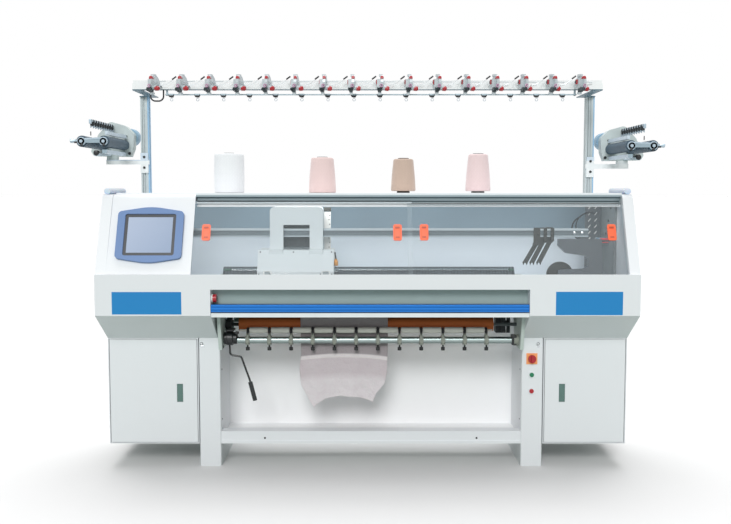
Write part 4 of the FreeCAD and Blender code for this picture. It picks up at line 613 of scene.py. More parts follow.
def package_finish(name, code, sizes):
    """Wound cotton or wool: matt, crossed by the diagonal lines of the winding and darker in bands.

    The lines are drawn nearly twice as far apart as the real ones, so that they show.
    """
    base, slant = linear(code), math.radians(24)
    material, tree, shader, place = finish(name, base, 0.88)
    shader.inputs["Sheen Weight"].default_value = 0.4
    lines = []
    for turn in (slant, -slant):
        slanted = node(tree, "ShaderNodeMapping", Vector=place, Rotation=(0, turn, 0)).outputs[0]
        lines.append(stripes(tree, slanted, "Z", sizes.wind_pitch * 1.875, 1.5))
    crossing = both(tree, *lines)
    layers = node(tree, "ShaderNodeMapping", Vector=place, Scale=(4, 4, 90)).outputs[0]
    bands = both(tree, noise(tree, layers, 1000, 2.0), 0.4)
    tone = blend(tree, crossing, shaded(base, 0.9), shaded(base, 1.04))
    tree.links.new(blend(tree, bands, tone, shaded(base, 0.84)), shader.inputs["Base Color"])
    bump(tree, shader, crossing, 0.45, 0.8)
    return material


def spring_finish():
    """Black oxide spring wire, its turns drawn 6 mm apart round the sleeve so that they show."""
    material, tree, shader, place = finish("black_spring_wire", linear("#101416"), 0.4, 0.3)
    turns = stripes(tree, place, "Z", 0.0059)
    tree.links.new(blend(tree, turns, linear("#070A0B"), linear("#30393D")), shader.inputs["Base Color"])
    bump(tree, shader, turns, 0.6, 1.0)
    return material


def lamp_finish():
    """Frosted acrylic tube: pale blue, painted a little lighter along its top as the light from above."""
    material, tree, shader, place = finish("frosted_acrylic", linear("#D3E1F1"), 0.3, IOR=1.49)
    shader.inputs["Subsurface Weight"].default_value = 0.15
    low, high = span("end_lamps")
    # painted light: lighter towards the top
    top = between(tree, coordinate(tree, place, "Z"), low.z / 1000, high.z / 1000)
    tree.links.new(blend(tree, top, linear("#BCD0E8"), linear("#E4EDF6")), shader.inputs["Base Color"])
    bump(tree, shader, noise(tree, place, 1.0), 0.05, 0.2)
    return material


def zone(code, **limits):
    """A part of a solid, in millimetres along its axes, and the colour it has."""
    other = linear(code) if isinstance(code, str) else code
    return [(axis, *limit) for axis, limit in limits.items()], other


FAR = 2000     # past the machine's ends on every side, in millimetres


class Finishes:
    """Every material, made once and shared."""

    def __init__(self, colours, sizes):
        self.coats(colours)
        self.plastics(colours)
        self.metals(colours)
        self.castings(colours)
        self.stand_pieces()
        self.knit = knit_finish(colours, sizes)
        self.spring = spring_finish()
        self.lamp = lamp_finish()

    def coats(self, colours):
        """Powder coats: satin, even, and with an orange peel that only shows close by."""
        self.shell = powder_coat("white_powder_coat", colours.shell)
        self.rear = rear_cover_finish(colours)
        # the bay's sheet is painted whiter than the casings, standing in for the light that bounces into the
        # bay
        self.tray = powder_coat("bay_white_painted_bounce_light", linear("#F8F9FA"))
        # the apron is painted grey-green as the shade in its recess behind the bar; the sill under it is
        # white like the casings
        self.recess = zoned("apron_painted_shade_and_white_sill", colours.recess, [zone("#EDF1F1", Z=(0, 732))])
        # the boxes carry two bare blue plates, flush with their faces
        plates = [zone(colours.badge, X=(-1106, -805), Y=(-5, 1), Z=(726, 824)),
                  zone(colours.badge, X=(814, 1104), Y=(-5, 1), Z=(723, 825))]
        self.boxes = zoned("powder_coat_and_bare_blue_plates", colours.shell, plates, size_mm=500,
                           spread=0.02)
        self.carriage = powder_coat("pale_grey_cover", linear("#E2E8EA"), 0.4)
        # painted shade: mid grey for the floors of recesses and for louvre slots
        self.painted_recess_shade = powder_coat("painted_recess_shade_grey", linear("#A3ADAF"), 0.45)
        self.bracket = powder_coat("dark_grey_bracket", linear("#5A6065"), 0.45)
        # painted lining, cloudy with lint
        self.lining_and_painted_shade = mottled("grey_side_lining", linear("#777E80"), 0.5, size_mm=80, spread=0.2)
        # the rail is folded: a white coat, and its underside painted bluish dark grey as shade
        self.yarn_rail = zoned("yarn_rail_coat", linear("#F8FAFC"), [zone("#4E6C7B", Z=(0, 1709))])

    def plastics(self, colours):
        """Moulded plastics and rubber: even colours with soft highlights."""
        self.acrylic = clear_acrylic()
        self.screen = touch_screen()
        self.grip = moulded("orange_abs", colours.grip)
        # painted shade: a darker copy of the grips' orange for their notches
        self.grip_painted_shade = moulded("orange_abs_painted_notch_shade", shaded(colours.grip, 0.45))
        self.bezel = moulded("slate_abs", linear("#5A7CAE"), 0.4)
        self.bezel_dark = moulded("dark_frame_abs", linear("#03121F"), 0.35)
        self.orange = moulded("orange_plate", linear("#F8A468"), 0.4)
        self.red = moulded("red_abs", linear("#AE1C28"), 0.35)
        self.red_light = moulded("bright_red_abs", linear("#D64550"), 0.35)
        self.green = moulded("green_abs", linear("#147A54"), 0.3)
        self.black = moulded("black_abs", linear("#121518"), 0.4)
        self.tip = moulded("white_tip", linear("#F2F2EE"))
        # glazed yarn eyes: harder and glossier than the plastics
        self.pink = moulded("pink_ceramic", linear("#C98BB0"), 0.25)
        # rubber: matt, with a slightly uneven grip surface
        self.press_rubber = mottled("pale_rubber", linear("#DEDBD4"), 0.6, size_mm=20, spread=0.08)
        self.feed_roller = mottled("slate_rubber", linear("#3F5463"), 0.55, size_mm=30, spread=0.12,
                                   relief=0.3)

    def metals(self, colours):
        """Bare, plated and anodised metals."""
        self.bar = anodised_bar(colours.bar)
        self.bed = brushed("needle_bed_steel", linear("#7B8388"), 0.45, "Y")
        # plating: bright and nearly even
        self.chrome = mottled("chromed_steel", linear("#D4DADD"), 0.15, 1.0, size_mm=20, relief=0.04)
        self.latch = mottled("zinc_latch", linear("#5F7A74"), 0.35, 0.6, size_mm=15)
        self.brass = mottled("brass", linear("#C28A45"), 0.3, 0.8, size_mm=8)
        self.cap_steel = mottled("blued_steel_cap", linear("#AEBFCB"), 0.3, 0.5, size_mm=12, spread=0.15)
        # ground rails: edges above and below painted bright as highlights, and the hollow between painted
        # darker as shade
        edges = [zone("#C3CDD2", Z=(1081, 1095)), zone("#B0BBC1", Z=(1049, 1058))]
        self.steel = zoned("ground_steel", linear("#6F7A80"), edges, 0.45, 0.2)
        # needles: dark, with light and dark patches along each row
        self.needle = mottled("needle_steel", linear("#2B3034"), 0.5, 0.4, size_mm=20, spread=0.3)
        # clear anodised extrusion: the groove in its face is painted dark as shade and its outer edge painted
        # blue as a reflection
        masts = [zone("#8FB9D8", X=(-1047, -1039)), zone("#8FB9D8", X=(1075, 1083)),
                 zone("#6B777B", X=(-1073, -1070)), zone("#6B777B", X=(1050, 1053))]
        self.mast = zoned("mast_extrusion", linear("#BCC6C8"), masts, 0.38, 0.3)
        # folded track: the grooves are painted dark as shade, and its lower lip is painted near white as a
        # highlight
        track_shade_and_highlight = [zone("#E9EFF2", Z=(1242, 1260)), zone("#5F727A", Z=(1226, 1232)),
                 zone("#66777D", Z=(1208, 1214)), zone("#FDFEFF", Z=(1180, 1206))]
        self.rail = zoned("window_track_aluminium", linear("#A4B4BA"), track_shade_and_highlight, 0.35, 0.2)
        # bright rod; what hangs under it is black nylon
        self.guides = zoned("guide_rod_steel", linear("#B4C6D0"), [zone("#14181A", Z=(0, 1683.8))], 0.4, 0.2)

    def castings(self, colours):
        """Castings and works: uneven, oily and darker than the covers."""
        self.casting = mottled("painted_casting", linear("#2E3436"), 0.6, size_mm=25, spread=0.2, grit_mm=4,
                               relief=0.3)
        # dark casting between two pale end plates
        ends = [zone("#C4CFCA", X=(-FAR, -652)), zone("#C4CFCA", X=(664, FAR))]
        self.beam_casting = zoned("beam_casting", linear("#2E3436"), ends, 0.55)
        # cams and levers of many tones that show only as a jumble
        self.works = mottled("oiled_steel_works", linear("#3A4246"), 0.5, 0.2, size_mm=9, spread=0.8,
                             grit_mm=6, relief=0.5)
        self.carrier = mottled("blackened_steel", linear("#33332F"), 0.5, 0.2, size_mm=10, spread=0.3)
        # brown covering between the dark ends of the axle and its gear
        axle = [zone("#25292B", X=(-FAR, -591)), zone("#5B6264", X=(579, FAR))]
        self.roller = zoned("roller_covering", colours.roller, axle, 0.7, spread=0.12)
        self.press = press_finish()
        # stove enamel: black, glossier than the castings
        self.crank = mottled("black_enamel", linear("#1E2224"), 0.35, size_mm=15, spread=0.15)
        self.teal = mottled("green_enamel", linear("#48685A"), 0.5, size_mm=20, spread=0.15)
        self.arm_grey = mottled("grey_cast_arm", linear("#8D918A"), 0.5, 0.2, size_mm=8, spread=0.15)

    def stand_pieces(self):
        """What stands on the table and the masts."""
        # rolled paper: matt and fibrous
        self.core = mottled("paper_tube", linear("#3B342F"), 0.8, size_mm=5, spread=0.15, relief=0.3)
        self.pale_core = mottled("grey_paper_tube", linear("#8F9190"), 0.8, size_mm=5, spread=0.15,
                                 relief=0.3)
        # pressed plates, and behind them small works that read as dark and pale specks
        self.disc = mottled("tension_disc_plate", linear("#C3CBCF"), 0.35, 0.25, size_mm=25, spread=0.1)
        self.disc_dark = mottled("tension_works", linear("#4E565A"), 0.4, 0.4, size_mm=5, spread=0.5,
                                 relief=0.4)
        # pale casting; bluish bright bars in front of it, a steel link before those, a white bracket below
        parts = [zone("#D3E0EC", Y=(136, 462)), zone("#9FB2BE", Y=(0, 136)), zone("#EFF3F4", Z=(1200, 1402))]
        self.feeder = zoned("pale_cast_housing", linear("#C6D1D1"), parts, 0.42, spread=0.08)
        self.feeder_blue = mottled("blue_grey_motor", linear("#8FB0C6"), 0.4, size_mm=30)


FINISH_OF = {
    "tray": ["lower_back_panel"],
    "shell": ["left_leg", "right_leg", "base_beam", "left_cabinet", "right_cabinet",
              "left_cabinet_door", "right_cabinet_door", "left_end_cap", "right_end_cap",
              "front_rail", "screen_panel", "table_top"],
    "yarn_rail": ["yarn_rail"], "boxes": ["left_upper_box", "right_upper_box"],
    "recess": ["apron_panel"], "rear": ["rear_cover"], "bar": ["operating_bar"],
    "acrylic": ["left_window", "right_window"], "grip": ["left_window_handles", "right_window_handles"],
    "bezel": ["screen_bezel"], "screen": ["screen_glass"], "orange": ["switch_plate"],
    "red": ["switch_knob", "red_button", "estop_button"], "green": ["green_button"],
    "latch": ["left_door_latch", "right_door_latch"], "steel": ["feeder_rails"],
    "bed": ["front_needle_bed", "rear_needle_bed"], "beam_casting": ["bed_beam"],
    "carriage": ["carriage_saddles", "carriage_bridge"], "bracket": ["rail_brackets"],
    "carrier": ["yarn_carrier_1", "yarn_carrier_2", "yarn_carrier_3"], "roller": ["takedown_roller"],
    "press": ["press_shaft"], "press_rubber": ["press_rollers"], "crank": ["crank_handle"],
    "knit": ["knitted_fabric"], "pale_core": ["yarn_cones"], "mast": ["masts"], "disc": ["yarn_tensioners"],
    "guides": ["guide_rod"], "black": ["cable_loop"], "feeder": ["left_side_feeder", "right_side_feeder"],
    "feed_roller": ["left_inner_feed_roller", "left_outer_feed_roller", "right_inner_feed_roller",
                    "right_outer_feed_roller"],
    "lamp": ["end_lamps"], "rail": ["upper_track"],
}


def made_finishes():
    """The shared finishes, made by the first operator that needs them."""
    if not hasattr(made_finishes, "kept"):
        scene = bpy.context.scene
        made_finishes.kept = Finishes(scene.knitter_colours, scene.knitter_sizes)
    return made_finishes.kept


# ---- operators ---------------------------------------------------------------------------------

class KNITTER_OT_solids(bpy.types.Operator):
    """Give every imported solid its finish"""
    bl_idname = "knitter.solids"
    bl_label = "Finish the solids"

    def execute(self, context):
        finishes = made_finishes()
        for kind, names in FINISH_OF.items():
            for name in names:
                NODES[name].data.materials.clear()
                NODES[name].data.materials.append(getattr(finishes, kind))
        return {"FINISHED"}


class KNITTER_OT_front(bpy.types.Operator):
    """Add the cover screws, the barrels of the key locks and the rings of the emergency stop"""
    bl_idname = "knitter.front"
    bl_label = "Front details"

    def execute(self, context):
        finishes = made_finishes()
        screw = context.scene.knitter_sizes.screw_radius * 1000
        head = [(0, screw), (2, screw), (2.6, screw * 0.6)]
        rivet = [(-1, 3.2), (1.2, 3.0), (1.8, 1.8)]
        screws = [turned((x, 194, 130), "-Y", head, 12) for x in (-470, 500)]
        for bay_side, axis in ((-670, "X"), (702, "-X")):
            screws += [turned((bay_side, 230, z), axis, rivet, 12) for z in (442, 210)]
        finished("beam_screws", screws, finishes.black)

        locks, leg_front, lock_z = [], 191, 567
        barrel = [(-1, 9), (3, 9), (4, 7.5), (4, 4.5), (2.6, 4)]
        for x in (-754, 775):
            locks.append(turned((x, leg_front, lock_z), "-Y", barrel, 20))
            locks.append(block((x - 1, 186.6, lock_z - 3), (x + 1, 189.5, lock_z + 3), 0.2))
            locks.append(block((x - 3, 186.5, lock_z - 14), (x + 9, 190.8, lock_z - 8), 0.8))
        finished("lock_barrels", locks, finishes.chrome)

        low, high = span("estop_button")
        radius = (high.z - low.z) / 2 + 0.8
        stop_y, stop_z = 32, 793
        ring = [(0, radius - 1), (0.6, radius), (3.6, radius), (4.2, radius - 1)]
        ring = turned((-677, stop_y, stop_z), "X", ring, 24)
        finished("stop_ring", [ring], finishes.tip)
        collar = turned((-681.2, stop_y, stop_z), "X", [(0, radius), (3.4, radius), (4, radius - 1)], 24)
        finished("stop_collar", [collar], finishes.black)
        return {"FINISHED"}


class KNITTER_OT_screen(bpy.types.Operator):
    """Frame the touch screen with its dark sunk mask and a lip round it"""
    bl_idname = "knitter.screen"
    bl_label = "Screen mask"

    def execute(self, context):
        finishes = made_finishes()
        low, high = span("screen_glass")
        middle = (low + high) / 2
        place = leaning(*middle, HOOD_LEAN)
        mask = surround(223, 193, 13.5, 2.9, place @ Matrix.Translation((0, 0, -0.0012)))
        finished("screen_mask", [mask], finishes.bezel_dark)
        lip = surround(228, 198, 2.4, 1.6, place @ Matrix.Translation((0, 0, 0.0032)))
        finished("bezel_lip", [lip], finishes.bezel)
        return {"FINISHED"}


class KNITTER_OT_grips(bpy.types.Operator):
    """Add the finger pockets and their notches to the window handles; the notches are painted darker orange
    as shade
    """
    bl_idname = "knitter.grips"
    bl_label = "Window grips"

    def execute(self, context):
        finishes = made_finishes()
        half_wide = 19
        for side in ("left", "right"):
            low, high = span(side + "_window_handles")
            middle = (low + high) / 2
            pockets, notches = [], []
            for x in (low.x + half_wide, high.x - half_wide):
                place = leaning(x, middle.y, middle.z, HOOD_LEAN)
                pockets.append(block((-14, -30, 1.5), (14, 16, 2.9), 0.6, place, (0.9, 0.94)))
                notches.append(block((-10, 19, 1.6), (10, 27, 2.3), 0.3, place))
                notches.append(block((-9, -26, 2.6), (9, -20, 3.1), 0.2, place))
            body = side + "_hood_window"
            finished(side + "_grip_pockets", pockets, finishes.grip, body)
            finished(side + "_grip_notches", notches, finishes.grip_painted_shade, body)
        return {"FINISHED"}


class KNITTER_OT_beds(bpy.types.Operator):
    """Lay the needles in the slots of both beds, drawn further apart than the real ones"""
    bl_idname = "knitter.beds"
    bl_label = "Needles"

    def execute(self, context):
        finishes = made_finishes()
        low, high = span("front_needle_bed")
        pitch, long = 13.2, 58
        first = low.x + pitch / 2
        half = context.scene.knitter_sizes.needle_wide * 1000 / 2
        count = int((high.x - low.x) / pitch)
        gap_y, foot_y, foot_z = 227, 45.9, high.z - 43.4
        lean = Matrix.Rotation(BED_LEAN, 4, "X")
        facing = Matrix.Diagonal((1, -1, 1, 1))
        for side, sign, turn in (("front", -1, lean), ("rear", 1, facing @ lean)):
            place = Matrix.Translation(at(0, gap_y + sign * foot_y, foot_z)) @ turn
            shank = block((first - half, 0, -2), (first + half, long, 2), 0.4, place)
            hook = bow((first, long, 3.2), 2.6, 0.7, -90, 200, place, "X", 6, 5)
            needle = joined([shank, hook])
            if side == "rear":
                needle.data.flip_normals()
            row = copies(needle, [(pitch * i, 0, 0) for i in range(1, count)])
            finished(side + "_needles", row, finishes.needle)
        return {"FINISHED"}


class KNITTER_OT_hood(bpy.types.Operator):
    """Fill the inside of the hood: linings, louvred strip, cables, shelf, pulley cover, clips and bolts"""
    bl_idname = "knitter.hood"
    bl_label = "Inside of the hood"

    def execute(self, context):
        finishes = made_finishes()
        inner, outer, floor_z, roof_z = 1124, 1133, 836, 1238
        lining_and_painted_shade = [block((inner, 235, floor_z), (outer, 640, roof_z), 1),
                  block((-outer, 235, floor_z), (-inner, 640, roof_z), 1)]
        finished("side_linings", lining_and_painted_shade, finishes.lining_and_painted_shade)
        strip = block((1046, 470, floor_z), (1122, 475, roof_z - 2), 1)
        finished("louvre_strip", [strip], finishes.bracket)
        louvre_place = Matrix.Translation(at(1066, 469, 880)) @ Matrix.Rotation(math.radians(-52), 4, "Y")
        louvre = block((-9, -1.2, -1.8), (9, 1.2, 1.8), 0.4, louvre_place)
        offsets = [(column * 30, 0, row * 30) for column in range(2) for row in range(11)]
        finished("louvres", copies(louvre, offsets[1:]), finishes.tip)
        cables = [bow((1040, 466, 1080), 58, 3.4, -80, 170, sides=8, steps=16),
                  bow((1066, 462, 1090), 66, 3.0, -100, 190, sides=8, steps=16)]
        finished("hood_cables", cables, finishes.black)

        shelf = block((1084, 330, 1034), (1123, 420, 1038), 0.8)
        finished("hood_shelf", [shelf], finishes.feeder_blue)
        edges = [block((1083, 327, 1031), (1123, 330, 1040), 0.6),
                 block((1083, 326, 1018), (1123, 329, 1022), 0.6)]
        finished("shelf_edge", edges, finishes.red_light)
        cover = turned((893, 300, 870), "Y", [(0, 62), (14, 62), (18, 56), (18, 34), (22, 30)], 36)
        finished("pulley_cover", [cover], finishes.carrier)

        ledge = leaning(*CLIP_PLACE, BED_LEAN)
        ends = ((-650, -618), (640, 662))
        clips = [block((left, -5, 0.4), (right, 5, 2.2), 0.4, ledge) for left, right in ends]
        finished("bed_end_blocks", clips, finishes.teal)
        bolts = [turned((x, 203.8, 1070), "-Y", [(0, 7), (3, 7), (4, 5)], 16) for x in (935, 970)]
        finished("rail_bolts", bolts, finishes.chrome)
        head = [(-2, 5), (2, 5), (2.6, 3)]
        screws = [turned((inner - 1, 300 + 40 * i, 1180 - 60 * i), "-X", head, 12) for i in range(3)]
        finished("lining_screws", screws, finishes.casting)
        return {"FINISHED"}


class KNITTER_OT_carriage(bpy.types.Operator):
    """Add the carriage's works behind its window, its recesses, screws, brush and light strip"""
    bl_idname = "knitter.carriage"
    bl_label = "Carriage details"
    body = "carriage"

    def execute(self, context):
        finishes = made_finishes()
        self.add_works(finishes)
        self.add_saddle_details(finishes)
        self.add_brush(finishes)
        self.add_light_strip(finishes)
        return {"FINISHED"}

    def add_works(self, finishes):
        """A plate with five cams and four studs, seen through the bridge's window."""
        left = -384
        works = [block((left, 255.5, 1000), (-254, 262, 1180), 1)]
        for i in range(5):
            start, foot, top = left + 8 + 24 * i, 1008 + 9 * (i % 2), 1048 - 5 * (i % 3)
            works.append(block((start, 253.5, foot), (start + 18, 256, top), 0.8))
        for i in range(4):
            stud = (left + 20 + 30 * i, 255.6, 1096 - 6 * (i % 2))
            works.append(turned(stud, "-Y", [(0, 8), (2, 8), (3, 5)], 14))
        finished("carriage_works", works, finishes.works, self.body)

    def add_saddle_details(self, finishes):
        """Two rimmed recesses in the front saddle, their floors painted mid grey as shade, and its screws."""
        lefts = (-454, -197)
        sunk = [block((x, 93.6, 889), (x + 25, 95.6, 905), 0.6) for x in lefts]
        finished("saddle_recesses", sunk, finishes.painted_recess_shade, self.body)
        rims = [surround(36, 20, 3, 1.4, leaning(x + 12.5, 95, 896, 0)) for x in lefts]
        finished("recess_rims", rims, finishes.tip, self.body)
        face_head, slope_head = [(-1, 2.6), (1, 2.6), (1.4, 1.6)], [(-1, 3), (1.2, 3), (1.8, 2)]
        screws = [turned((x, 94, 893), "-Y", face_head, 10) for x in (-480, -430, -208, -158)]
        slope = leaning(0, 145, 987, math.atan2(56, 93))
        screws += [turned((x, 0, 0), "Z", slope_head, 10, slope) for x in (-478, -424, -330, -214, -160)]
        finished("saddle_screws", screws, finishes.black, self.body)

    def add_brush(self, finishes):
        """The latch brush at the saddle's right end, with its brass clamp and its coiled wire."""
        tufts = []
        for i in range(4):
            tufts.append(straight((-146, 160 + i * 5, 985), (-141, 156 + i * 5, 948), 2.6, 8, end_radius=4))
        finished("brush", tufts, finishes.black, self.body)
        clamp = [block((-150, 148, 925), (-132, 178, 948), 2), block((-148, 150, 948), (-136, 176, 956), 1.5)]
        finished("brush_clamp", clamp, finishes.brass, self.body)
        coil = [bow((-140, 160 + 7 * i, 908), 11 - i, 1.2, 20 * i, 330, steps=14, sides=6) for i in range(4)]
        finished("brush_wire", coil, finishes.chrome, self.body)

    def add_light_strip(self, finishes):
        """A pale strip beside the bridge with two staggered rows of holes, drawn as dark discs for painted
        shade, and a dark clamp on top.
        """
        strip = block((-199, 262, 945), (-168, 265, 1165), 1)
        finished("light_strip", [strip], finishes.tip, self.body)
        rim = [(-1, 2.6), (0.5, 2.6), (0.7, 1.6)]
        # painted shade: each hole is a dark disc for the shade inside it
        holes = [turned((-176 + 3 * (i % 2), 262.2, 960 + 21 * i), "-Y", rim, 10) for i in range(10)]
        holes.append(block((-199, 259, 1166), (-166, 266, 1184), 1))
        finished("strip_holes", holes, finishes.carrier, self.body)


class KNITTER_OT_carriers(bpy.types.Operator):
    """Clamp blocks that hold the yarn carriers to their rails, and the strip over the front bed's needles"""
    bl_idname = "knitter.carriers"
    bl_label = "Yarn carrier blocks"

    def execute(self, context):
        finishes = made_finishes()
        first, pitch = 750, 32
        for number, name in enumerate(("one", "two", "three")):
            start = first + pitch * number
            clamp = [block((start + 13, 195, 1032), (start + 28, 203.4, 1094), 1.5),
                     block((start + 14, 193.5, 1040), (start + 27, 195.4, 1052), 0.8),
                     turned((start + 20.5, 195.2, 1066), "-Y", [(0, 7), (2, 7), (3, 5)], 14)]
            finished("carrier_block_" + name, clamp, finishes.carrier, "carrier_" + name)
        ledge = leaning(*CLIP_PLACE, BED_LEAN)
        strip = block((-617, -5, 2.4), (639, 5, 5), 0.5, ledge)
        finished("needle_strip", [strip], finishes.chrome)
        dots = [turned((-560 + 150 * i, 0, 4.8), "Z", [(0, 2.6), (0.8, 2.4)], 10, ledge) for i in range(9)]
        finished("strip_screws", dots, finishes.black)
        return {"FINISHED"}


class KNITTER_OT_takedown(bpy.types.Operator):
    """Add clamps and hooks to the press arms, the bearing blocks, the roller's drive and its spring"""
    bl_idname = "knitter.takedown"
    bl_label = "Take-down details"

    def execute(self, context):
        finishes = made_finishes()
        self.add_arm_details(finishes)
        self.add_bearings(finishes)
        self.add_drive(finishes)
        return {"FINISHED"}

    @staticmethod
    def add_arm_details(finishes):
        """One clamp, hook, brace and spring, copied along the twelve press arms."""
        body, first, pitch, arms = "press_arms", -545, 98.7, 12
        steps = [(pitch * i, 0, 0) for i in range(1, arms)]
        ring = [(0, 19.5), (1, 20.6), (19, 20.6), (20, 19.5)]
        clamp = turned((first - 10, *PRESS_TUBE), "X", ring, 20)
        ear = block((first - 7, 186, 598), (first + 7, 214, 612), 2, top=(0.7, 0.7))
        finished("arm_clamps", copies(joined([clamp, ear]), steps), finishes.arm_grey, body)
        hook = straight((first, 186, 604), (first, 212, 640), 2.6, 8)
        brace = straight((first, 186, 606), (first, 196, 632), 2.2, 8)
        turns = [(i * 1.6, 3.0 if i % 2 else 4.4) for i in range(7)]
        spring = turned((first, 192, 560), "-Z", turns, 10)
        rows = copies(joined([hook, brace, spring]), steps)
        finished("arm_hooks", rows, finishes.black, body)

    @staticmethod
    def add_bearings(finishes):
        """The hub with its lugs at the crank's end of the press tube, and the plain block at the other."""
        body = "press_arms"
        flanges = [(0, 24), (3, 29), (14, 29), (16, 33), (40, 33), (44, 28), (59, 27), (61, 24)]
        hub = [turned((-653, 201, 591), "X", flanges, 12), block((-660, 176, 548), (-652, 190, 560), 1.5),
               block((-640, 172, 626), (-604, 226, 634), 2), block((-600, 174, 614), (-584, 200, 622), 1)]
        finished("hub_block", hub, finishes.crank, body)
        right = block((655, 178, 562), (676, 226, 606), 2)
        finished("right_bearing", [right], finishes.crank, body)

    @staticmethod
    def add_drive(finishes):
        """Blocks and motor at the take-down roller's ends, with two tie rods and the brake spring."""
        drive = [block((-621, 300, 650), (-590, 330, 712), 2),
                 turned((-650, 300, 640), "X", [(0, 22), (26, 22)], 20)]
        finished("drive_blocks", drive, finishes.teal)
        motor = [block((600, 320, 596), (668, 380, 704), 3), block((624, 300, 604), (640, 321, 700), 2)]
        stud = [(0, 9), (10, 9), (12, 6)]
        motor += [turned((652, 318, 690 - 24 * i), "-Y", stud, 14) for i in range(4)]
        finished("roller_motor", motor, finishes.casting)
        rods = [straight((645, 298, 600), (645, 298, 702), 2, 8),
                straight((-660, 300, 632), (-660, 300, 706), 2, 8)]
        finished("tie_rods", rods, finishes.chrome)
        turns = [(i * 3.6, 6.4 if i % 2 else 10) for i in range(18)]
        spring = turned((-650, 250, 632), "Z", turns, 12)
        finished("brake_spring", [spring], finishes.chrome)


class KNITTER_OT_fabric(bpy.types.Operator):
    """Hang the knitted panel: soft folds towards its hem and curling edges"""
    bl_idname = "knitter.fabric"
    bl_label = "Knitted panel"

    # down the sides: height and place across; along the hem: place across and height, in millimetres
    LEFT = ((896, -310), (512, -304), (444, -313), (369, -306), (300, -268), (268, -246))
    RIGHT = ((896, 94), (528, 93), (427, 90), (378, 79), (330, 40), (290, 24))
    HEM = ((-246, 268), (-180, 303), (-111, 318), (-42, 311), (24, 290))
    CRESTS = (-350, -272, -206, -118, -52, 38, 104)     # where one fold meets the next at the hem
    GAP_Y = 227             # the panel hangs in the gap between the beds
    TOP = 896
    FOLDS_FROM = 545        # it starts to fold at this height,
    FOLDS_OVER = 295        # and hangs in full folds this much lower
    FOLD = 11 / 80          # how far a fold stands out, as a share of its width
    THICK = 0.0012          # metres

    @staticmethod
    def along(points, value):
        """The second number of the points where the first one has the value, on straight runs."""
        ordered = sorted(points)
        if value <= ordered[0][0]:
            return ordered[0][1]
        for (near, first), (far, second) in zip(ordered, ordered[1:]):
            if value <= far:
                share = (value - near) / (far - near)
                return first + (second - first) * share
        return ordered[-1][1]

    def hung(self, across, down):
        """Where the point at these shares of the panel's width and length hangs."""
        left_hem, right_hem = self.HEM[0][0], self.HEM[-1][0]
        hem = self.along(self.HEM, left_hem + (right_hem - left_hem) * across)
        z = self.TOP + (hem - self.TOP) * down
        x = self.along(self.LEFT, z)
        x += (self.along(self.RIGHT, z) - x) * across
        loose = max(0.0, min(1.0, (self.FOLDS_FROM - z) / self.FOLDS_OVER))
        fold = 0
        for i, (near, far) in enumerate(zip(self.CRESTS, self.CRESTS[1:])):
            if near <= x <= far:
                swell = self.FOLD * (far - near)
                fold = math.sin(math.pi * (x - near) / (far - near)) * swell * (1 if i % 2 == 0 else -1)
        pucker = 1.6 * math.sin(x / 9 + z / 23) * math.sin(z / 17 - x / 31)
        curl = 3.0 * (math.exp(-across * 25) + math.exp((across - 1) * 25) + math.exp((down - 1) * 40))
        return at(x, self.GAP_Y + loose * (fold * 0.97 + pucker * loose - curl * loose), z)

    def execute(self, context):
        clear()
        bpy.ops.mesh.primitive_grid_add(x_subdivisions=96, y_subdivisions=150, size=1)
        sheet = bpy.context.object
        for vert in sheet.data.vertices:
            vert.co = self.hung(vert.co.x + 0.5, 0.5 - vert.co.y)
        clear()
        sheet.select_set(True)
        context.view_layer.objects.active = sheet
        bpy.ops.object.mode_set(mode="EDIT")
        bpy.ops.mesh.select_all(action="SELECT")
        bpy.ops.mesh.normals_make_consistent(inside=False)
        bpy.ops.object.mode_set(mode="OBJECT")
        bpy.ops.object.modifier_add(type="SOLIDIFY")
        wall = sheet.modifiers[-1]
        wall.thickness = self.THICK
        wall.offset = 0
        bpy.ops.object.modifier_apply(modifier=wall.name)
        bpy.ops.object.shade_smooth()
        panel = finished("knitted_panel", [sheet], made_finishes().knit)
        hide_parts("knitted_fabric")
        return {"FINISHED"}


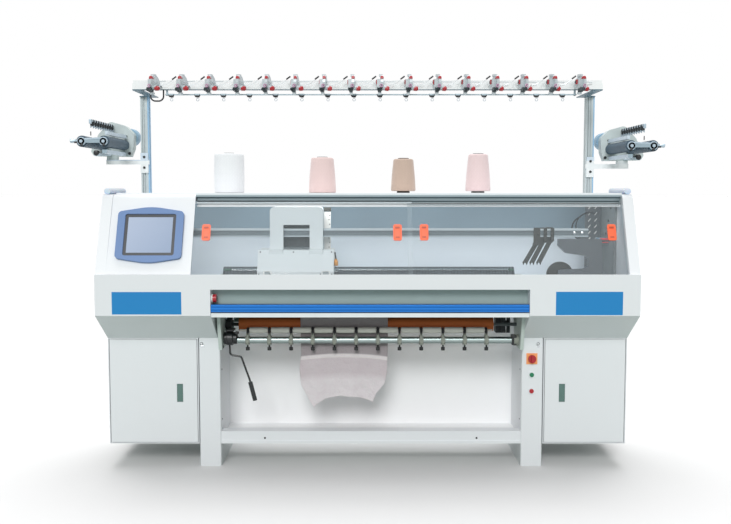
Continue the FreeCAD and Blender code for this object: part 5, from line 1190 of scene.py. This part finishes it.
class KNITTER_OT_stand(bpy.types.Operator):
    """Add the tensioners' small parts and yarn-break wires, the guides' boats and eyes, and clamp bolts"""
    bl_idname = "knitter.stand"
    bl_label = "Yarn stand details"

    UNITS = 16                         # tensioners, and guides below them
    TENSIONER = (-939, 146, 1734)      # middle of the first one
    TENSIONER_PITCH = 125.2
    FIRST_TURN = -24                   # degrees about the upright,
    TURN_STEP = 3.2                    # and how much more for each one to the right
    GUIDE_X = -876
    GUIDE_PITCH = 116.3

    def execute(self, context):
        finishes = made_finishes()
        self.add_tensioner_details(finishes)
        self.add_break_wires(finishes)
        self.add_guides(finishes)
        bolts = []
        for x, drop in ((-1063, 0), (1063, 20)):
            for z in (1370 - drop, 1420 - drop):
                bolts.append(turned((x, 458, z), "-Y", [(0, 6), (4, 6), (5, 4)], 12))
        finished("clamp_bolts", bolts, finishes.black)
        return {"FINISHED"}

    def tensioner(self, i, nearer=0, yaw=0.0):
        """Place at a tensioner's middle, or at a point so much nearer to the operator."""
        x, y, z = self.TENSIONER
        return spot(x + self.TENSIONER_PITCH * i, y - nearer, z, yaw)

    def yaw(self, i):
        """How far a tensioner is turned about the upright, in degrees."""
        return self.TURN_STEP * i + self.FIRST_TURN

    def add_tensioner_details(self, finishes):
        """The small parts of one tensioner after another, each turned a little more than the last."""
        caps, works, eyes, faces = [], [], [], []
        for i in range(self.UNITS):
            place = self.tensioner(i, yaw=self.yaw(i))
            caps.append(block((-8, -31, 14), (8, -8, 27), 3, place, (0.7, 0.7)))
            caps.append(turned((14, -10, -27), "X", [(0, 9.8), (14, 10.6), (19, 7)], 16, place))
            caps.append(block((-25.5, -6, -8), (-22, 6, 12), 1, place))
            turns = [(3 * k, 9 if k % 2 else 5) for k in range(9)]
            works.append(turned((-22, -24, -30), "X", turns, 14, place))
            works.append(block((-18, -20, -42), (-2, 0, -28), 2, place))
            works.append(turned((-22, 6, 2), "-X", [(0, 7), (3, 7), (4, 4)], 14, place))
            eyes.append(bow((-4, -33, -16), 6, 1.8, 0, 350, place, steps=12, sides=6))
            eyes.append(straight((-4, -33, -22), (-8, -18, -30), 1.6, 6, place))
            faces.append(block((6, 20, -22), (16, 34, -8), 2, place))
            faces.append(block((-16, -12, -52), (-2, 8, -42), 2, place, (1.0, 1.0)))
            faces.append(turned((5.6, 0, 0), "X", [(0, 30), (1.2, 29), (1.2, 12), (2.4, 10)], 32, place))
        finished("tensioner_caps", caps, finishes.red)
        finished("tensioner_works", works, finishes.disc_dark)
        finished("tensioner_eyes", eyes, finishes.pink)
        finished("tensioner_faces", faces, finishes.disc)

    def add_break_wires(self, finishes):
        """A black button on each tensioner, and a bent wire with a black tip between it and the next."""
        tips, wires = [], []
        for i in range(self.UNITS):
            place = self.tensioner(i, yaw=self.yaw(i))
            tips.append(turned((15.6, 27, -15), "X", [(0, 4.2), (1.6, 4)], 10, place))
            if i == self.UNITS - 1:
                continue
            level = self.tensioner(i, nearer=12)
            bend = 3 + i * 0.2
            wires.append(straight((20, 10, -16), (62, 0, bend - 10), 1.1, 6, level))
            wires.append(straight((62, 0, bend - 10), (88, 0, bend + 12), 1.1, 6, level))
            tips.append(straight((82, 0, bend + 9), (100, 0, bend + 22), 3.4, 8, level))
        finished("tensioner_tips", tips, finishes.black)
        finished("break_wires", wires, finishes.chrome)

    def add_guides(self, finishes):
        """A black boat in front of each guide's saddle and a steel eye under it."""
        steps = [(self.GUIDE_PITCH * i, 0, 0) for i in range(1, self.UNITS)]
        outline = [(-14, 1687), (-9, 1677), (0, 1674), (9, 1675), (14, 1685), (8, 1687)]
        boat = cut_plate(outline, 7, Matrix.Translation((self.GUIDE_X / 1000, 0, 0)) @ upright(203.5))
        finished("guide_boats", copies(boat, steps), finishes.black)
        eye = bow((self.GUIDE_X + 2, 200, 1665), 6, 1.2, 0, 350, steps=14, sides=6)
        finished("guide_eyes", copies(eye, steps), finishes.cap_steel)


class KNITTER_OT_feeders(bpy.types.Operator):
    """Add comb springs with their hooks, roller caps, bolts and the motor's cover to the side feeders"""
    bl_idname = "knitter.feeders"
    bl_label = "Side feeder details"

    INNER = -1160       # the left feeder's roller axes,
    OUTER = -1257
    LEVEL = 1477        # and their height
    FRONT = 468         # its housing's front
    LONG = 340          # the comb's length
    SPRINGS = 9
    DROP = 20           # the right feeder hangs lower

    def execute(self, context):
        finishes = made_finishes()
        springs, hooks = self.comb()
        caps, dots = self.link_details()
        x, y, z = self.INNER, self.FRONT, self.LEVEL
        motor = turned((x + 14, y + 50, z + 40), "Y", [(0, 40), (4, 42), (56, 42), (60, 38)], 32)
        arm = block((x - 140, y - 22, z - 52), (x - 60, y - 2, z - 38), 3)
        for name, pieces, coat, slot in (("comb_springs", springs, finishes.spring, "crank_black"),
                                         ("comb_hooks", hooks, finishes.cap_steel, "thin_steel"),
                                         ("roller_caps", caps, finishes.cap_steel, "thin_steel"),
                                         ("feeder_bolts", dots, finishes.black, "crank_black"),
                                         ("feeder_motor", [motor], finishes.feeder_blue, "feeder_white"),
                                         ("feeder_arm", [arm], finishes.feeder, "feeder_white")):
            whole = joined(pieces)
            twin = mirrored(whole, self.DROP)
            finished("left_" + name, [whole], coat)
            finished("right_" + name, [twin], coat)
        return {"FINISHED"}

    def comb(self):
        """The comb's springs, and under each a hook of wire; a stop ends the comb."""
        springs, hooks = [], []
        x, foot, top = self.INNER - 56, self.LEVEL + 60, self.LEVEL + 72
        for i in range(self.SPRINGS):
            y = self.FRONT - 14 - i * self.LONG / self.SPRINGS
            springs.append(turned((x, y, top), "Z", [(-2, 10), (20, 10), (24, 7)], 10))
            hooks.append(bow((x, y, foot), 8, 2.2, 180, 180, steps=6, sides=6))
            hooks.append(straight((x + 8, y, foot), (x + 8, y, top), 2.2, 6))
            hooks.append(straight((x - 8, y, foot), (x - 8, y, top), 2.2, 6))
        end = self.FRONT - self.LONG
        hooks.append(block((x - 6, end - 12, top + 4), (x + 6, end - 5, top + 24), 2))
        return springs, hooks

    def link_details(self):
        """Caps on the rollers' shafts with the rod between them, and the bolts of link and housing."""
        caps, dots = [], []
        inner, outer, level, front = self.INNER, self.OUTER, self.LEVEL, self.FRONT
        link = span("left_side_feeder")[0].y
        cap = [(0, 19), (9, 19), (12, 15), (12, 8), (15, 7)]
        for x in (inner, outer):
            caps.append(turned((x, link + 12, level), "-Y", cap, 24))
            dots.append(turned((x + 2, link + 4, level - 16), "-Y", [(0, 6), (5, 6), (6, 4)], 12))
        caps.append(straight((inner - 4, link + 6, level + 12), (outer + 14, link + 6, level + 8), 6, 10))
        handle = [(-14, 7), (0, 10), (8, 10), (10, 6)]
        caps.append(turned((outer - 40, link + 8, level + 2), "-X", handle, 14))
        dots.append(turned((outer - 18, link + 6, level - 4), "-X", [(0, 5), (14, 5)], 12))
        dots.append(turned((inner - 128, front - 24, level - 38), "-Y", [(-20, 13), (0, 13), (2, 9)], 16))
        dots.append(turned((inner + 12, front - 4, level + 42), "-Y", [(0, 5), (4, 5)], 12))
        dots.append(turned((inner + 26, front - 2, level - 40), "-Y", [(0, 7), (3, 7)], 12))
        pin = inner - 62
        dots.append(straight((pin, link + 30, level + 26), (pin, link + 30, level + 44), 2.2, 8))
        return caps, dots


Package = namedtuple("Package", "name x foot top high code core lift")
PACKAGES = (Package("white", -647, 69, 69, 186, "#FAFCFF", "pale_core", 0),
            Package("pink", -211, 64, 53, 168, "#F0D6D3", "pale_core", 0),
            Package("brown", 168, 58, 47, 162, "#CDB5A5", "core", 8),
            Package("pale", 518, 59, 46, 184, "#F2DADA", "pale_core", 8))


class KNITTER_OT_packages(bpy.types.Operator):
    """Wind the four yarn packages on their paper tubes"""
    bl_idname = "knitter.packages"
    bl_label = "Yarn packages"

    @staticmethod
    def winding(foot, top, rise):
        """The outline of the yarn: a rounded foot, a side that swells a little and a rounded top."""
        steps = [(0, foot - 5), (2, foot - 1.5), (6, foot)]
        for k in range(1, 12):
            share = k / 12
            swell = 1.4 * math.sin(math.pi * share)
            steps.append((6 + (rise - 16) * share, foot + (top - foot) * share + swell))
        return steps + [(rise - 8, top + 0.4), (rise - 3, top - 2), (rise, top - 8), (rise, 24)]

    def execute(self, context):
        finishes = made_finishes()
        depth, table_z = 380, 1250.3
        for package in PACKAGES:
            high = package.high
            outline = self.winding(package.foot, package.top, high - 4 - package.lift)
            yarn = turned((package.x, depth, table_z + package.lift), "Z", outline, 64)
            coat = package_finish(package.name + "_wound_yarn", package.code, context.scene.knitter_sizes)
            yarn = finished(package.name + "_package", [yarn], coat)
            cone = [(0, package.foot * 0.52), (high - 1, 25), (high, 24), (high, 20), (high - 9, 19)]
            tube = turned((package.x, depth, table_z), "Z", cone, 32)
            tube = finished(package.name + "_tube", [tube], getattr(finishes, package.core))
            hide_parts("yarn_cones")
            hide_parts("yarn_cones")
        return {"FINISHED"}


class KNITTER_OT_back(bpy.types.Operator):
    """Add the seams and the louvres of the rear cover"""
    bl_idname = "knitter.back"
    bl_label = "Rear cover details"

    def execute(self, context):
        finishes = made_finishes()
        low, high = span("rear_cover")
        back = high.y
        louvre_place = Matrix.Translation(at(-900, back - 2, low.z + 60))
        louvre = block((-40, -0.5, -3), (40, 2, 3), 0.8, louvre_place)
        offsets = [(column * 110, 0, line * 18) for column in (0, 1, 15, 16) for line in range(8)]
        # the louvres' slots are painted mid grey as the shade inside them
        finished("rear_louvres", copies(louvre, offsets[1:]), finishes.painted_recess_shade)
        seams = []
        for x in (-560, 560):
            seams.append(block((x - 1, back - 1.4, low.z + 4), (x + 1, back - 0.02, high.z - 4), 0.3))
        finished("rear_seams", seams, finishes.bracket)
        return {"FINISHED"}


Sun = namedtuple("Sun", "name rise side strength softness")     # angles in degrees
SUNS = (Sun("front_sun", 30, -6, 1.55, 22), Sun("top_sun", 72, 180, 2.3, 50))
AMBIENT = 0.5
HOOD_LIGHT = 2.9     # watts


class KNITTER_OT_studio(bpy.types.Operator):
    """Set the white floor, the world, the soft suns, the lamp in the hood and the camera"""
    bl_idname = "knitter.studio"
    bl_label = "Studio"

    def execute(self, context):
        clear()
        bpy.ops.mesh.primitive_plane_add(size=400, location=(0, 0, 0))
        floor = bpy.context.object
        floor.name = "floor"
        floor.data.materials.append(self.floor_finish())
        context.scene.world = self.white_world()
        for sun in SUNS:
            self.add_sun(context, sun)
        self.add_hood_light(context)
        self.add_camera(context)
        context.scene.view_settings.view_transform = "Standard"
        return {"FINISHED"}

    @staticmethod
    def seen(tree):
        """1 for what the camera sees, straight or through metal and glass."""
        path = node(tree, "ShaderNodeLightPath").outputs
        mirror = sum_of(tree, "MAXIMUM", path["Is Glossy Ray"], path["Is Transmission Ray"])
        return sum_of(tree, "MAXIMUM", path["Is Camera Ray"], mirror)

    def floor_finish(self):
        """White floor that keeps the shadow; the light it throws upwards is dimmer and grey-green."""
        material = bpy.data.materials.new("white_seamless_floor")
        material.use_nodes = True
        tree = material.node_tree
        tree.nodes.clear()
        bright = node(tree, "ShaderNodeBsdfDiffuse", Color=(0.74, 0.74, 0.74, 1)).outputs[0]
        dull = node(tree, "ShaderNodeBsdfDiffuse", Color=(0.30, 0.35, 0.325, 1)).outputs[0]
        mixed = node(tree, "ShaderNodeMixShader", Fac=self.seen(tree), i1=dull, i2=bright)
        node(tree, "ShaderNodeOutputMaterial", Surface=mixed.outputs[0])
        return material

    def white_world(self):
        """Even light from all round; what the camera sees of it is white."""
        world = bpy.data.worlds.new("studio")
        world.use_nodes = True
        tree = world.node_tree
        tree.nodes.clear()
        white = (1, 1, 1, 1)
        lit = node(tree, "ShaderNodeBackground", Color=white, Strength=AMBIENT).outputs[0]
        shown = node(tree, "ShaderNodeBackground", Color=white, Strength=1.0).outputs[0]
        mixed = node(tree, "ShaderNodeMixShader", Fac=self.seen(tree), i1=lit, i2=shown)
        node(tree, "ShaderNodeOutputWorld", Surface=mixed.outputs[0])
        return world

    @staticmethod
    def add_sun(context, sun):
        """A soft sun at a height above the floor and a side of the operator."""
        lamp = bpy.data.lights.new(sun.name, "SUN")
        lamp.energy = sun.strength
        lamp.angle = math.radians(sun.softness)
        rise, side = math.radians(sun.rise), math.radians(sun.side)
        away = Vector((math.cos(rise) * math.sin(side), -math.cos(rise) * math.cos(side), math.sin(rise)))
        holder = bpy.data.objects.new(sun.name, lamp)
        holder.location = away * 5
        holder.rotation_euler = away.to_track_quat("Z", "Y").to_euler()
        context.collection.objects.link(holder)

    @staticmethod
    def add_hood_light(context):
        """The long work light under the table's front edge, which lights the beds and the rear cover."""
        strip = bpy.data.lights.new("hood_light", "AREA")
        strip.shape = "RECTANGLE"
        strip.size, strip.size_y = 2.1, 0.04
        strip.energy = HOOD_LIGHT
        holder = bpy.data.objects.new("hood_light", strip)
        holder.location = at(0, 240, 1205)
        holder.rotation_euler = Vector((0, -0.75, 0.66)).to_track_quat("Z", "Y").to_euler()
        holder.visible_glossy = False
        context.collection.objects.link(holder)

    @staticmethod
    def add_camera(context):
        """The photograph's view; its width is 731 pixels and its focal length 920 of them."""
        lens = bpy.data.cameras.new("camera")
        lens.sensor_width = 36
        lens.lens = 36 * 920 / 731
        camera = bpy.data.objects.new("camera", lens)
        camera.location = at(-9, -3950, 1260)
        camera.rotation_euler = (math.radians(90 - 4.43), 0, 0)
        context.collection.objects.link(camera)
        context.scene.camera = camera


OPERATORS = (KNITTER_OT_solids, KNITTER_OT_front, KNITTER_OT_screen, KNITTER_OT_grips, KNITTER_OT_beds,
             KNITTER_OT_hood, KNITTER_OT_carriage, KNITTER_OT_carriers, KNITTER_OT_takedown,
             KNITTER_OT_fabric, KNITTER_OT_stand, KNITTER_OT_feeders, KNITTER_OT_packages, KNITTER_OT_back,
             KNITTER_OT_studio)


class KNITTER_PT_panel(bpy.types.Panel):
    """Sizes, colours and the pieces of the knitting machine"""
    bl_idname = "KNITTER_PT_panel"
    bl_label = "Knitting machine"
    bl_space_type = "VIEW_3D"
    bl_region_type = "UI"
    bl_category = "Knitting"

    def draw(self, context):
        for group in (context.scene.knitter_colours, context.scene.knitter_sizes):
            for name in group.__annotations__:
                self.layout.prop(group, name)
        for operator in OPERATORS:
            self.layout.operator(operator.bl_idname)


CLASSES = (KnitterColours, KnitterSizes, *OPERATORS, KNITTER_PT_panel)


def register():
    for item in CLASSES:
        bpy.utils.register_class(item)
    bpy.types.Scene.knitter_colours = PointerProperty(type=KnitterColours)
    bpy.types.Scene.knitter_sizes = PointerProperty(type=KnitterSizes)


def unregister():
    del bpy.types.Scene.knitter_sizes
    del bpy.types.Scene.knitter_colours
    for item in reversed(CLASSES):
        bpy.utils.unregister_class(item)


def main():
    register()
    for operator in OPERATORS:
        group, name = operator.bl_idname.split(".")
        getattr(getattr(bpy.ops, group), name)()
    clear()


if __name__ == "__main__":
    main()
